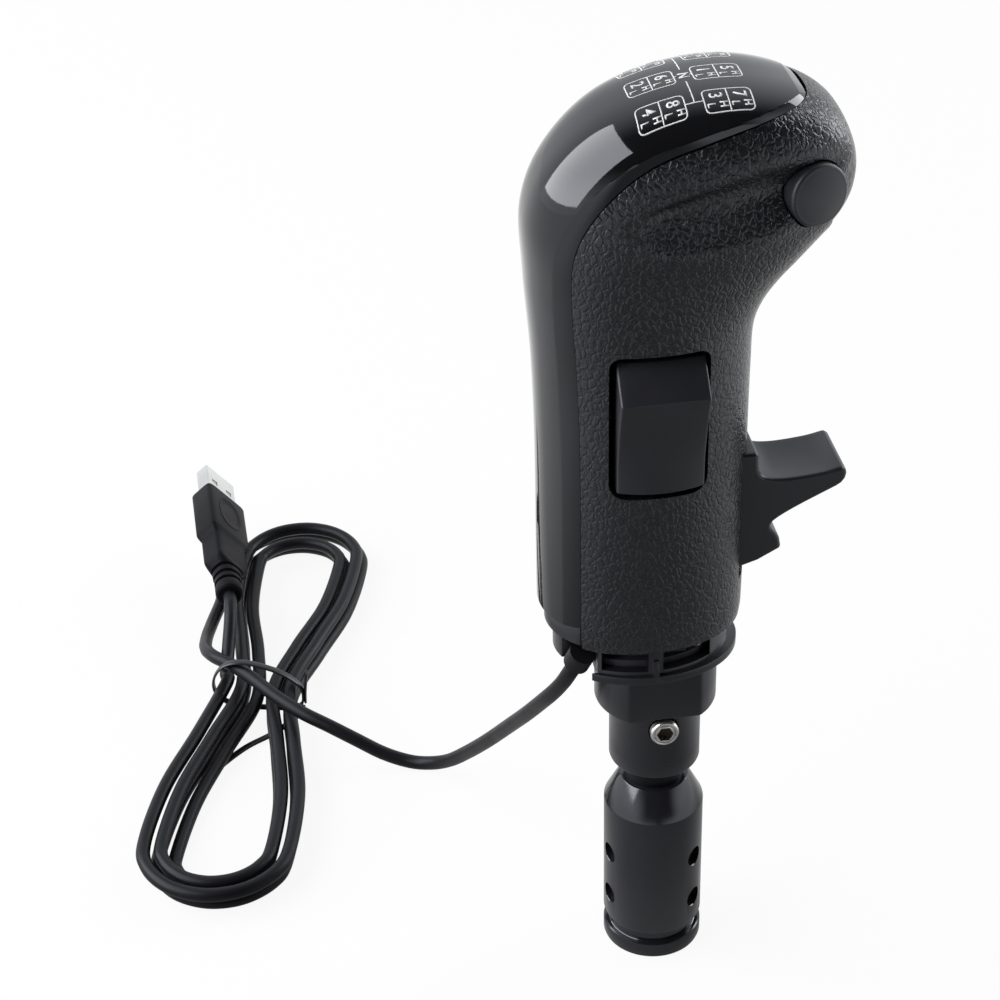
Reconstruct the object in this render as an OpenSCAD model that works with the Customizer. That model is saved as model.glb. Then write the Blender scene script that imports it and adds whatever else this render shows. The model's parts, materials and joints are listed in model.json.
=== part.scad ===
// Truck style gear knob for a driving simulator.
// A grip with a rocker, a front trigger and a thumb button stands on a clamp adapter.
// Its USB lead leaves the collar, comes down to the floor and ends in a tied hank.
// Millimetres, +Z up, +X towards the nose, rocker and button on the -Y side.
// The origin is on the stem's axis at the adapter's foot.

/* [Adapter] */
// Radius of the adapter's body and of its foot ring
adapter_r = 12; // [11.5:0.1:14]
// Height of the adapter up to its cone
adapter_h = 42.6; // [41:0.2:50]
// Height of the cone
cone_h = 7.4; // [5:0.2:10]
// Radius at the top of the cone
cone_top_r = 8.2; // [7.4:0.1:9]
// Height of the foot ring
ring_h = 4; // [3:0.1:5]
// Width of the groove above the foot ring
groove_w = 3.6; // [2:0.1:4.5]
// Depth of that groove
groove_d = 1.4; // [0.5:0.1:1.8]
// Radius of the lever that the sleeve holds
lever_r = 6; // [5:0.1:6.2]
// Wall of the sleeve
sleeve_t = 2.4; // [1.5:0.1:2.6]
// Depth of the lever's bore
lever_depth = 36; // [32:0.5:38]
// Radius of the clamp screws
clamp_r = 2.5; // [2:0.1:3]
// Height of the lower row of clamp screws
clamp_low = 15.3; // [12:0.1:18]
// Height of the upper row of clamp screws
clamp_high = 28.3; // [25:0.1:32]
// Turn of the clamp screws about the stem
clamp_turn = 76; // [0:0.5:119]

/* [Stud and hub] */
// Radius of the stud's thread
stud_r = 6; // [5:0.1:6.5]
// Radius of the stud's shoulder
shoulder_r = 7; // [6.8:0.1:8]
// Height of the shoulder between adapter and hub
shoulder_h = 5.5; // [3:0.1:8]
// Radius of the hub's lower cylinder
coupler_r = 10.8; // [10:0.1:12]
// Height of the hub's lower cylinder
coupler_h = 18.5; // [16:0.1:24]
// Radius of the hub's upper cylinder
boss_r = 14.3; // [13.8:0.1:15.5]
// Height of the hub's upper cylinder
boss_h = 14.5; // [13:0.1:18]
// Distance from the axis to each spanner flat
flat_y = 11.6; // [11:0.1:12.5]
// Radius of the hub's set screw
set_screw_r = 3.4; // [2.5:0.1:3.6]
// Height of the set screw below the upper cylinder
set_screw_drop = 4; // [3.8:0.1:8]
// How far the set screw stands out
set_screw_out = 1.3; // [0.5:0.1:2.5]
// Radius of the circle of the hub screws
hub_screw_pcr = 10.3; // [9.5:0.1:10.5]
// Radius of the hub screws
hub_screw_r = 1.5; // [1.2:0.1:1.6]

/* [Collar] */
// Thickness of the flange
flange_t = 2; // [1.5:0.1:3]
// Length of the flange along X
flange_x = 43.4; // [42.6:0.2:46]
// Width of the flange along Y
flange_y = 33.4; // [32.6:0.2:36]
// Clear height between flange and grip
collar_gap = 7.5; // [6:0.1:10]
// Wall of the collar
collar_t = 2.2; // [1.6:0.1:2.4]
// How far the collar reaches up into the grip
collar_in = 5; // [3:0.1:5.5]

/* [Grip] */
// Depth of the grip's shaft along X
grip_x = 46.4; // [46:0.1:50]
// Width of the grip's shaft along Y
grip_y = 37; // [36.6:0.1:40]
// Offset of the shaft's middle from the stem
grip_shift = -3.8; // [-4.2:0.1:-3.4]
// Height of the straight shaft
shaft_h = 65; // [64:0.5:72]
// Height of the head above the shaft
head_h = 66; // [65:0.5:72]
// Width of the head
head_y = 42.4; // [42:0.1:46]
// Reach of the nose from the stem
nose_x = 39.9; // [39:0.1:44]
// Wall of the moulded shells
wall = 2.4; // [1.8:0.1:2.6]
// Half angle of the glossy cover about the shaft
cover_angle = 47; // [40:1:50]
// Height of the cover's lower edge above the grip's foot
cover_foot = 6; // [4:0.1:9]
// How far the cover stands proud
cover_proud = 0.5; // [0.2:0.1:0.8]
// How far the cover's bevelled rim lies under the skin
cover_rim = 0.3; // [0:0.1:0.8]
// Gap along the seam
seam_gap = 0.35; // [0.25:0.05:0.6]

/* [Rocker] */
// Width of the rocker
rocker_w = 19; // [17:0.1:19.4]
// Height of the rocker
rocker_h = 31; // [28:0.5:32]
// Height of the rocker's pivot above the grip's foot
rocker_up = 59.6; // [59.5:0.1:64]
// Middle of the rocker along X
rocker_x = -3.6; // [-4.8:0.1:-3.6]
// Distance of the rocker's pivot from the grip's middle plane
rocker_pivot_y = 10.5; // [10:0.1:10.8]
// Radius of the rocker's pin
rocker_pin_r = 1.5; // [1:0.1:1.6]
// Full swing of the rocker
rocker_swing = 12; // [8:1:13]
// Side clearance of the rocker in its window
rocker_gap = 1.4; // [0.8:0.1:1.4]

/* [Trigger] */
// Width of the trigger
trigger_w = 17; // [14:0.2:17.4]
// Reach of the paddle from its pivot
paddle_reach = 36; // [33:0.5:42]
// Height of the trigger's pivot above the grip's foot
trigger_up = 29.5; // [28.5:0.1:30.5]
// Place of the trigger's pivot along X
trigger_x = 5; // [4.6:0.1:5.4]
// Radius of the trigger's pin
trigger_pin_r = 2; // [1.5:0.1:2.6]
// Clearance of the trigger in its slot
trigger_gap = 0.5; // [0.4:0.1:0.8]

/* [Button] */
// Radius of the button
button_r = 6.8; // [5.5:0.1:7.2]
// How far the button stands out
button_out = 2.8; // [2.2:0.1:3.6]
// Rise of the button's dome
button_dome = 1; // [0.6:0.1:1.6]
// Travel of the button
button_travel = 1.5; // [1:0.1:2]

/* [USB lead] */
// Diameter of the cord
cord_d = 3.75; // [3.6:0.05:3.8]
// Width of the plug's shell
plug_w = 12; // [12:0.1:12.1]
// Height of the plug's shell
plug_h = 4.5; // [4.4:0.1:4.6]
// Length of the plug's shell
plug_l = 13.5; // [12:0.5:16]
// Width of the plug's moulded body
mould_w = 15.8; // [14:0.1:16.2]
// Height of the plug's moulded body
mould_h = 8.2; // [7.4:0.1:8.4]

/* [Hidden] */
$fn = 64;

// Clearances: fixed fits, running fits and faces that lie side by side
fit = 0.02;
run_fit = 0.05;
side_gap = 0.3;
// Overshoot of a cut
over = 1;

// Heights of the stack
cone_z = adapter_h;
neck_z = cone_z + cone_h;
coupler_z = neck_z + shoulder_h;
boss_z = coupler_z + coupler_h;
flange_z = boss_z + boss_h;
deck_z = flange_z + flange_t;
grip_z = deck_z + collar_gap;

// Lever adapter
sleeve_r = lever_r + sleeve_t;
adapter_edge = 0.6;
stud_sink = 10;
clamp_sink = 1.6;
clamp_socket = 1.2;

module radial(angle, z) {
    translate([0, 0, z]) rotate([0, 0, angle]) rotate([0, 90, 0]) children();
}

module at_clamps() {
    for (z = [clamp_low, clamp_high], k = [0:2]) radial(clamp_turn + 120 * k, z) children();
}

module hex_socket(width, depth) {
    translate([0, 0, -depth]) cylinder(d = width / cos(30), h = depth + over, $fn = 6);
}

module lever_adapter() {
    color("#1b1b1d") difference() {
        rotate_extrude() polygon([
            [0, 0],
            [adapter_r - adapter_edge, 0],
            [adapter_r, adapter_edge],
            [adapter_r, ring_h - adapter_edge],
            [adapter_r - adapter_edge, ring_h],
            [adapter_r - groove_d, ring_h],
            [adapter_r - groove_d, ring_h + groove_w],
            [adapter_r - adapter_edge, ring_h + groove_w],
            [adapter_r, ring_h + groove_w + adapter_edge],
            [adapter_r, cone_z],
            [cone_top_r, neck_z],
            [0, neck_z],
        ]);
        translate([0, 0, -over]) cylinder(r = sleeve_r + fit, h = lever_depth + over);
        translate([0, 0, neck_z - stud_sink]) cylinder(r = stud_r + fit, h = stud_sink + over);
        at_clamps() cylinder(r = clamp_r + fit, h = adapter_r + over);
    }
}

module lever_sleeve() {
    color("#2a2a2c") difference() {
        cylinder(r = sleeve_r, h = lever_depth);
        translate([0, 0, -over]) cylinder(r = lever_r, h = lever_depth + 2 * over);
    }
}

module clamp_screws() {
    clamp_top = adapter_r - clamp_sink;
    color("#202022") at_clamps() difference() {
        translate([0, 0, sleeve_r + fit]) cylinder(r = clamp_r, h = clamp_top - sleeve_r - fit);
        translate([0, 0, clamp_top]) hex_socket(clamp_r, clamp_socket);
    }
}

// Stud and hub
stud_up = boss_h + coupler_h - 4;
hub_edge = 1;

module threaded_stud() {
    color("#161617") union() {
        translate([0, 0, neck_z - stud_sink]) cylinder(r = stud_r, h = stud_sink + shoulder_h + stud_up);
        translate([0, 0, neck_z]) cylinder(r = shoulder_r, h = shoulder_h);
    }
}

module at_hub_screws() {
    for (k = [0:3]) rotate([0, 0, 45 + 90 * k]) translate([hub_screw_pcr, 0, 0]) children();
}

hub_screw_l = 10;
module mount_hub() {
    color("#1d1d1f") difference() {
        union() {
            translate([0, 0, coupler_z]) rotate_extrude() polygon([
                [0, 0],
                [coupler_r - hub_edge, 0],
                [coupler_r, hub_edge],
                [coupler_r, coupler_h],
                [0, coupler_h],
            ]);
            translate([0, 0, boss_z]) intersection() {
                cylinder(r = boss_r, h = boss_h);
                translate([-boss_r, -flat_y, 0]) cube([2 * boss_r, 2 * flat_y, boss_h]);
            }
        }
        translate([0, 0, coupler_z - over]) cylinder(r = stud_r + fit, h = stud_up + over + fit);
        radial(-90, set_screw_z) cylinder(r = set_screw_r + fit, h = coupler_r + over);
        at_hub_screws() translate([0, 0, flange_z - hub_screw_l]) cylinder(r = hub_screw_r + fit, h = 20);
    }
}

set_screw_z = boss_z - set_screw_drop;
module hub_set_screw() {
    tip = coupler_r + set_screw_out;
    chamfer = 0.65;
    color("#c9cbce") radial(-90, set_screw_z) difference() {
        union() {
            translate([0, 0, stud_r + fit]) cylinder(r = set_screw_r, h = tip - stud_r - fit - chamfer);
            translate([0, 0, tip - chamfer]) cylinder(r1 = set_screw_r, r2 = set_screw_r - chamfer, h = chamfer);
        }
        translate([0, 0, tip]) hex_socket(set_screw_r, 2.6);
    }
}

deck_t = 2.5;
screw_head_h = 2.2;
module hub_screws() {
    head_r = hub_screw_r * 1.8;
    color("#8d9093") at_hub_screws() difference() {
        union() {
            translate([0, 0, flange_z - hub_screw_l + over]) cylinder(r = hub_screw_r, h = hub_screw_l + flange_t + deck_t - over);
            translate([0, 0, deck_z + deck_t]) cylinder(r = head_r, h = screw_head_h);
        }
        translate([0, 0, deck_z + deck_t + screw_head_h]) hex_socket(hub_screw_r * 1.6, 1.4);
    }
}

// Skin of the grip: one row per station along its bent spine
grip_back = grip_shift - grip_x / 2;
grip_front = grip_shift + grip_x / 2;
half_y = grip_y / 2;
head_half = head_y / 2;
head_z = shaft_h + head_h;
// Each station has the back point, the front point, the half width,
// the squareness of the back and of the front, and the half angle of the cover
stations = [
    [grip_back + 0.8, 0, grip_front - 1, 0, half_y - 1, 2.15, 2.15, cover_angle],
    [grip_back + 0.1, 3, grip_front - 0.2, 3, half_y - 0.1, 2.15, 2.15, cover_angle],
    [grip_back, 22, grip_front, 22, half_y, 2.15, 2.15, cover_angle],
    [grip_back, 47, grip_front, 47, half_y, 2.15, 2.15, cover_angle],
    [grip_back - 0.6, shaft_h + 4, grip_front + 0.1, shaft_h, half_y + 0.1, 2.15, 2.2, cover_angle],
    [grip_back - 2, shaft_h + 24, grip_front + 0.4, shaft_h + 10.5, head_half - 2, 2.28, 2.22, cover_angle + 1],
    [grip_back - 2.2, shaft_h + 39, grip_front + 2.2, shaft_h + 16.5, head_half - 1, 2.4, 2.27, cover_angle + 3],
    [grip_back + 2.7, head_z - 15.5, grip_front + 5.4, shaft_h + 21.5, head_half - 0.2, 2.6, 2.3, cover_angle + 6],
    [grip_back + 13, head_z - 5.7, nose_x - 11, shaft_h + 26.2, head_half, 2.8, 2.33, cover_angle + 9],
    [nose_x - 39.9, head_z - 0.6, nose_x - 7.4, shaft_h + 30.7, head_half - 0.4, 2.9, 2.37, cover_angle + 12],
    [nose_x - 24.9, head_z + 0.2, nose_x - 4, shaft_h + 34.8, head_half - 1.9, 3, 2.4, cover_angle + 13],
    [nose_x - 12.4, head_z - 2.6, nose_x - 1.8, shaft_h + 38.6, head_half - 5.2, 2.75, 2.3, cover_angle + 11],
    [nose_x - 5, head_z - 6.9, nose_x - 0.7, shaft_h + 42, head_half - 9.6, 2.5, 2.2, cover_angle + 9],
    [nose_x - 1.5, head_z - 12.9, nose_x - 0.2, shaft_h + 45.6, head_half - 14.8, 2.2, 2.1, cover_angle + 9],
    [nose_x - 0.2, head_z - 17.5, nose_x, shaft_h + 48, 0.8, 2, 2, cover_angle + 9],
];
last_u = len(stations) - 1;
// Place of the cover's rounded tip along the spine, and the run over which it narrows
cover_tip = 11.15;
tip_run = 2.6;
skin_cols = 40;
cover_cols = 12;

function bend(a, b, c, d, f) =
    0.5 * (2 * b + (c - a) * f + (2 * a - 5 * b + 4 * c - d) * f * f + (3 * b - a - 3 * c + d) * f * f * f);
function along(list, u) =
    let (n = len(list) - 1, i = min(floor(u), n - 1),
         before = i > 0 ? list[i - 1] : 2 * list[0] - list[1],
         after = i + 2 <= n ? list[i + 2] : 2 * list[n] - list[n - 1])
    bend(before, list[i], list[i + 1], after, u - i);
function power(v, e) = sign(v) * pow(abs(v), e);

// The wall thins by this much at the drawn-in foot
foot_tuck = 0.9;
// Point of the skin at place u along the spine and angle phi about it, phi 0 at the back
function skin(u, phi, inset) =
    let (s = along(stations, u),
         mid = [s[0] + s[2], s[1] + s[3]] / 2,
         arm = [s[0] - s[2], s[1] - s[3]] / 2,
         e = 2 / (cos(phi) > 0 ? s[5] : s[6]),
         deep = inset > 0 ? inset - foot_tuck * max(0, 1 - u) : inset,
         c = power(cos(phi), e) * max(1 - deep / norm(arm), 0.3),
         w = power(sin(phi), e) * max(s[4] - deep, 0.3 * s[4]))
    [mid[0] + arm[0] * c, w, mid[1] + arm[1] * c + grip_z];
function seam(u) =
    let (k = min(1, max(0, (cover_tip - u) / tip_run)))
    along(stations, u)[7] * sqrt(1 - pow(1 - k, 2.2));

function two_triangles(a, b, c, d) = [[a, b, c], [a, c, d]];
function flat_list(l) = [for (a = l) for (b = a) b];

// A shell of an outer and an inner grid. Rows from tip on are closed rings and the last row ends in a pole.
module shell(outer, inner, rows, cols, tip) {
    start = function (i) i <= tip ? i * (cols + 1) : tip * (cols + 1) + (i - tip) * cols;
    count = start(rows) + 1;
    at = function (i, j) i == rows ? count - 1 : start(i) + (i >= tip ? j % cols : j);
    in = function (i, j) count + at(i, j);
    skins = flat_list([for (i = [0:rows - 2]) for (j = [0:cols - 1]) concat(
        two_triangles(at(i, j), at(i, j + 1), at(i + 1, j + 1), at(i + 1, j)),
        two_triangles(in(i, j), in(i + 1, j), in(i + 1, j + 1), in(i, j + 1)))]);
    caps = flat_list([for (j = [0:cols - 1]) [
        [at(rows - 1, j), at(rows - 1, j + 1), at(rows, 0)],
        [in(rows - 1, j), in(rows, 0), in(rows - 1, j + 1)]]]);
    foot = flat_list([for (j = [0:cols - 1])
        two_triangles(at(0, j + 1), at(0, j), in(0, j), in(0, j + 1))]);
    rims = flat_list([for (i = [0:tip - 1]) concat(
        two_triangles(at(i, 0), at(i + 1, 0), in(i + 1, 0), in(i, 0)),
        two_triangles(at(i + 1, cols), at(i, cols), in(i, cols), in(i + 1, cols)))]);
    polyhedron(concat(outer, inner), concat(skins, caps, foot, rims));
}

body_rows = concat(
    [0, 0.4, 1, 2, 3, 4],
    [for (u = [4.5:0.5:10]) u],
    [cover_tip - 0.7, cover_tip - 0.4, cover_tip - 0.15, cover_tip],
    [for (k = [0.16, 0.34, 0.52, 0.7, 0.84, 0.94]) cover_tip + (last_u - cover_tip) * k]);
body_tip = len(body_rows) - 7;
// Share of the nose that the inner grid fills
inner_share = 0.62;
function inner_u(u) = u <= cover_tip ? u : cover_tip + (u - cover_tip) * inner_share;
function body_grid(inset, deep) = concat(
    [for (i = [0:len(body_rows) - 1])
        let (u = deep ? inner_u(body_rows[i]) : body_rows[i], edge = i < body_tip ? seam(u) : 0)
        for (j = [0:i < body_tip ? skin_cols : skin_cols - 1])
            skin(u, edge + (360 - 2 * edge) * j / skin_cols, inset)],
    [let (u = deep ? inner_u(last_u) : last_u) (skin(u, 0, inset) + skin(u, 180, inset)) / 2]);

window_h = rocker_h + 4.3;
window_round = 2.2;
slot_up = 15.4;
slot_down = 17.8;
button_hole_r = button_r + 0.4;

module rounded_cut(w, h, depth, r) {
    for (s = [[w - 2 * r, h], [w, h - 2 * r]])
        translate([-s[0] / 2, 0, -s[1] / 2]) cube([s[0], depth, s[1]]);
    for (x = [-1, 1], z = [-1, 1])
        translate([x * (w / 2 - r), 0, z * (h / 2 - r)]) rotate([-90, 0, 0]) cylinder(r = r, h = depth);
}

module grip_body() {
    color("#232325") difference() {
        shell(body_grid(0, false), body_grid(wall, true), len(body_rows), skin_cols, body_tip);
        translate([rocker_x, -half_y - 3, grip_z + rocker_up])
            rounded_cut(rocker_w + 2 * rocker_gap, window_h, 13, window_round);
        at_button() translate([0, 0, -12]) cylinder(r = button_hole_r, h = 24);
        translate([grip_front - 9, -trigger_w / 2 - trigger_gap, grip_z + trigger_up - slot_down])
            cube([20, trigger_w + 2 * trigger_gap, slot_up + slot_down]);
    }
}

// Glossy cover over the back and the top
function place_of(z, low, high, n) =
    let (mid = (low + high) / 2)
    n == 0 ? mid : along(stations, mid)[1] < z ? place_of(z, mid, high, n - 1) : place_of(z, low, mid, n - 1);
cover_low_u = place_of(cover_foot, 1, 2, 20);
cover_rows = concat(
    [cover_low_u, 2, 3],
    [for (u = [4:0.5:10]) u],
    [cover_tip - 0.7, cover_tip - 0.4, cover_tip - 0.2]);
cover_end = cover_tip - 0.06;
// Reach of the cover's edge from the spine, which turns the gap into an angle
edge_reach = 8;
function gap_angle(u) = seam_gap / norm([along(stations, u)[4], edge_reach]) * 57.3;
// The cover's rim falls off in a bevel over the outer share of each row
bevel_share = 0.22;
function cover_share(j) =
    j == 0 ? -1 : j == cover_cols ? 1 : (1 - bevel_share) * (2 * (j - 1) / (cover_cols - 2) - 1);
function cover_grid(inset, rim) = concat(
    [for (u = cover_rows)
        let (edge = seam(u) - gap_angle(u))
        for (j = [0:cover_cols]) skin(u, edge * cover_share(j), j == 0 || j == cover_cols ? rim : inset)],
    [skin(cover_end, 0, rim)]);

module spine_cover() {
    color("#0d0d0e") shell(
        cover_grid(-cover_proud, cover_rim), cover_grid(wall, wall), len(cover_rows), cover_cols, len(cover_rows));
}

// Collar between hub and grip
flange_shift = -3;
flange_back = -21.3;
oval_sides = 72;
collar_a = grip_x / 2 - wall - 0.5;
collar_b = half_y - wall - 0.5;
collar_h = collar_gap + collar_in;
notch_x = -16;
notch_y = -8.8;
notch_w = 7.4;
notch_h = 9.2;
window_low = 1;
window_top = 8;
band_inset = 1;

module oval(a, b) {
    polygon([for (k = [0:oval_sides - 1]) [a * cos(360 * k / oval_sides), b * sin(360 * k / oval_sides)]]);
}

module oval_plate(a, b, h) {
    linear_extrude(h) oval(a, b);
}

// Way out of the cord
module cord_notch() {
    translate([notch_x - 20, notch_y - notch_w / 2, flange_z - over]) cube([20, notch_w, notch_h + over]);
}

// Band that fills the gap under the cover
module cover_band() {
    band_z = grip_z + side_gap;
    band_h = cover_foot - 2 * side_gap;
    reach = grip_x;
    half = cover_angle - 4;
    intersection() {
        translate([grip_shift, 0, band_z]) oval_plate(grip_x / 2 - band_inset, half_y - band_inset, band_h);
        translate([grip_shift, 0, band_z]) linear_extrude(band_h) polygon([
            [0, 0],
            [-reach * cos(half), reach * sin(half) * half_y / (grip_x / 2)],
            [-reach * cos(half), -reach * sin(half) * half_y / (grip_x / 2)],
        ]);
    }
}

module base_collar() {
    color("#1a1a1b") difference() {
        union() {
            translate([flange_shift, 0, flange_z]) oval_plate(flange_x / 2, flange_y / 2, flange_t);
            translate([grip_shift, 0, deck_z]) oval_plate(collar_a, collar_b, collar_h);
            cover_band();
            for (side = [-1, 1]) translate([-3.2, side * (collar_b + 0.4), deck_z]) gusset(side);
        }
        translate([grip_shift, 0, deck_z]) oval_plate(collar_a - collar_t, collar_b - collar_t, collar_h + over);
        translate([flange_back - 20, -flange_y, flange_z - over]) cube([20, 2 * flange_y, flange_t + over]);
        cord_notch();
        for (side = [-1, 1], x = [[-15.2, -4.9], [-1.5, 10.2]])
            translate([x[0], side > 0 ? 8 : -28, deck_z + window_low]) cube([x[1] - x[0], 20, window_top]);
        at_hub_screws() translate([0, 0, flange_z - over]) cylinder(r = hub_screw_r + 0.2, h = flange_t + 2 * over);
    }
}

module gusset(side) {
    t = 1.2;
    translate([-t / 2, 0, 0]) rotate([90, 0, 90]) linear_extrude(t) polygon([
        [-side, 0],
        [side * 0.9, 0],
        [0, 4],
        [-side, 4],
    ]);
}

// Frame on the collar's deck: two ears for the trigger and two posts for the board
ear_t = 2.2;
ear_y = trigger_w / 2 + 0.6;
ear_half = 5;
pivot_z = grip_z + trigger_up;
deck_top = deck_z + deck_t;
deck_a = collar_a - collar_t - side_gap;
deck_b = collar_b - collar_t - side_gap;
ear_foot = [-9, 4.6];
ear_outline = [
    [ear_foot[0], deck_z],
    [ear_foot[1], deck_z],
    [ear_foot[1], grip_z + collar_in + 1],
    [trigger_x + ear_half, pivot_z - 8],
    [trigger_x + ear_half, pivot_z],
    [trigger_x - ear_half, pivot_z],
    [ear_foot[0] + 4, grip_z + 10],
];
post_x = -14;
post_d = 3.5;
post_y = 7.2;
post_w = 4;
post_top = grip_z + 39;
// Room above the hub screws for the driver, and the depth of the board's screw holes
driver_room = 40;
board_hole_l = 9;

module at_trigger() {
    translate([trigger_x, 0, pivot_z]) rotate([90, 0, 0]) children();
}

module inner_frame() {
    color("#3a3a3d") difference() {
        union() {
            translate([grip_shift, 0, deck_z]) oval_plate(deck_a, deck_b, deck_t);
            for (side = [-1, 1]) {
                translate([0, side > 0 ? ear_y + ear_t : -ear_y, 0]) rotate([90, 0, 0]) linear_extrude(ear_t)
                    polygon(ear_outline);
                at_trigger() translate([0, 0, side > 0 ? -ear_y - ear_t : ear_y]) cylinder(r = ear_half, h = ear_t);
                translate([post_x, side * post_y - post_w / 2, deck_z]) cube([post_d, post_w, post_top - deck_z]);
            }
            translate([leaf_x - leaf_t - 2, -leaf_w / 2, deck_z]) cube([2, leaf_w, deck_t + 7]);
        }
        at_trigger() translate([0, 0, -trigger_w]) cylinder(r = trigger_pin_r + fit, h = 2 * trigger_w);
        cord_notch();
        at_hub_screws() translate([0, 0, deck_z - over]) cylinder(r = hub_screw_r + 0.2, h = deck_t + 2 * over);
        at_hub_screws() translate([0, 0, deck_top]) cylinder(r = hub_screw_r * 1.8 + side_gap, h = driver_room);
        at_board_screws() translate([0, 0, -board_hole_l]) cylinder(r = board_screw_r + fit, h = board_hole_l + over);
    }
}

// Trigger: outline in X and Z about its pivot
hub_r = 6.5;
root_up = 14.8;
root_down = 15.2;
root_x = grip_front - trigger_x;
tip_h = 9;
// Skirt inside the grip that closes the slot below the trigger
skirt_x = root_x - 6;
skirt_down = 20;
function curve(points, n) = [for (k = [0:n]) along(points, (len(points) - 1) * k / n)];
paddle_top = [
    [root_x + 0.5, root_up - 4.6],
    [root_x + 3, 8.3],
    [paddle_reach - 13.5, 7.6],
    [paddle_reach - 6, 8.1],
    [paddle_reach - 1.2, tip_h],
];
paddle_tip = [
    [paddle_reach - 0.2, tip_h - 0.7],
    [paddle_reach, tip_h - 1.8],
    [paddle_reach - 0.4, tip_h - 3.2],
];
paddle_under = [
    [paddle_reach - 2.4, tip_h - 5],
    [paddle_reach - 10.7, -0.1],
    [root_x + 6, -3],
    [root_x + 4.8, -4.8],
    [root_x + 5.3, -7.1],
    [root_x + 6.8, -9.4],
];
trigger_outline = concat(
    [[0, hub_r], [root_x - 2.6, root_up], [root_x, root_up]],
    curve(paddle_top, 12), paddle_tip, curve(paddle_under, 15),
    [[root_x + 6, -10.4], [root_x + 2, -13], [root_x - 2.7, -root_down], [skirt_x, -root_down]],
    [[skirt_x, -skirt_down], [skirt_x - 3, -skirt_down], [0, -hub_r]]);

module trigger_lever() {
    color("#262628") at_trigger() difference() {
        union() {
            linear_extrude(trigger_w, center = true) polygon(trigger_outline);
            translate([0, 0, -trigger_w / 2]) cylinder(r = hub_r, h = trigger_w);
        }
        translate([0, 0, -trigger_w]) cylinder(r = trigger_pin_r + run_fit, h = 2 * trigger_w);
    }
}

trigger_pin_l = 2 * (ear_y + ear_t);
module trigger_pin() {
    color("#b9bbbe") at_trigger() translate([0, 0, -trigger_pin_l / 2]) cylinder(r = trigger_pin_r, h = trigger_pin_l);
}

bush_t = ear_y - trigger_w / 2 - 0.1;
module trigger_bushes() {
    color("#d8d4c8") at_trigger() for (side = [-1, 1])
        translate([0, 0, side * (ear_y - bush_t / 2) - bush_t / 2]) difference() {
            cylinder(r = trigger_pin_r + 2, h = bush_t);
            translate([0, 0, -over]) cylinder(r = trigger_pin_r + fit, h = bush_t + 2 * over);
        }
}

leaf_t = 0.5;
leaf_w = 6;
leaf_x = trigger_x - hub_r - 0.3;
module detent_leaf() {
    color("#c4c6c8") translate([leaf_x - leaf_t, -leaf_w / 2, deck_top])
        cube([leaf_t, leaf_w, pivot_z - deck_top + 4]);
}

switch_t = 5.6;
switch_y = 12.8;
switch_h = 6.5;
switch_x = leaf_x - leaf_t - 0.2 - switch_h;
switch_z = pivot_z - 12;
switch_screw_r = 1;
switch_l = 20;
module trigger_switch() {
    color("#2d2d30") union() {
        translate([switch_x, -switch_t / 2, switch_z]) cube([switch_h, switch_t, switch_l]);
        translate([switch_x + switch_h, -1, switch_z + 11]) cube([0.2, 2, 2]);
        for (z = [2.5, 10, 17.5]) translate([switch_x - 3, -1.6, switch_z + z - 0.25]) cube([3, 3.2, 0.5]);
    }
}

module switch_screws() {
    color("#9a9da0") for (side = [-1, 1])
        translate([switch_x + switch_h / 2, side * (switch_t / 2), switch_z + 5]) rotate([-90 * side, 0, 0])
            cylinder(r = switch_screw_r, h = 1.2);
}

// Rocker: outline in outward distance and height about its pivot
ridge_up = 8.3;
ridge_out = 12;
rocker_top_out = 6.3;
rocker_low_out = 9;
rocker_in = 1.5;
cheek_t = 1.5;
housing_gap = 0.5;
housing_half = rocker_w / 2 + housing_gap + cheek_t;
housing_h = window_h + 1.3;
housing_front = 2.5;
housing_back = 12.5;
plunger_r = 1.7;
plunger_l = 7;

module at_rocker() {
    translate([rocker_x, -rocker_pivot_y, grip_z + rocker_up]) children();
}

module along_x(length) {
    translate([-length / 2, 0, 0]) rotate([90, 0, 90]) linear_extrude(length) children();
}

module rocker_cap() {
    color("#29292b") at_rocker() difference() {
        along_x(rocker_w) polygon([
            [-rocker_top_out, rocker_h / 2],
            [-ridge_out, ridge_up],
            [-rocker_low_out, -rocker_h / 2],
            [-rocker_low_out + 3, -rocker_h / 2 - 0.2],
            [rocker_in, -rocker_h / 2 + 6],
            [rocker_in, rocker_h / 2 - 6],
            [-rocker_top_out + 3, rocker_h / 2 + 0.1],
        ]);
        rotate([0, 90, 0]) cylinder(r = rocker_pin_r + run_fit, h = 2 * rocker_w, center = true);
        for (z = [-plunger_z, plunger_z])
            translate([0, rocker_in + over, z]) rotate([90, 0, 0]) cylinder(r = plunger_r + fit, h = plunger_l + over);
    }
}

plunger_z = 4.6;
plunger_out = 2.2;
module rocker_plunger() {
    color("#d0d2d4") at_rocker() for (z = [-plunger_z, plunger_z])
        translate([0, rocker_in + plunger_out, z]) rotate([90, 0, 0]) cylinder(r = plunger_r, h = plunger_out + 2);
}

module rocker_spring() {
    color("#a8abae") at_rocker() for (z = [-plunger_z, plunger_z])
        translate([0, rocker_in - 2 - fit, z]) rotate([90, 0, 0]) difference() {
            cylinder(r = plunger_r - 0.1, h = plunger_l - 2 - 2 * fit);
            translate([0, 0, -over]) cylinder(r = plunger_r - 0.6, h = plunger_l + over);
        }
}

rocker_pin_l = 2 * housing_half;
module rocker_pin() {
    color("#202022") at_rocker() rotate([0, 90, 0]) cylinder(r = rocker_pin_r, h = rocker_pin_l, center = true);
}

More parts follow.
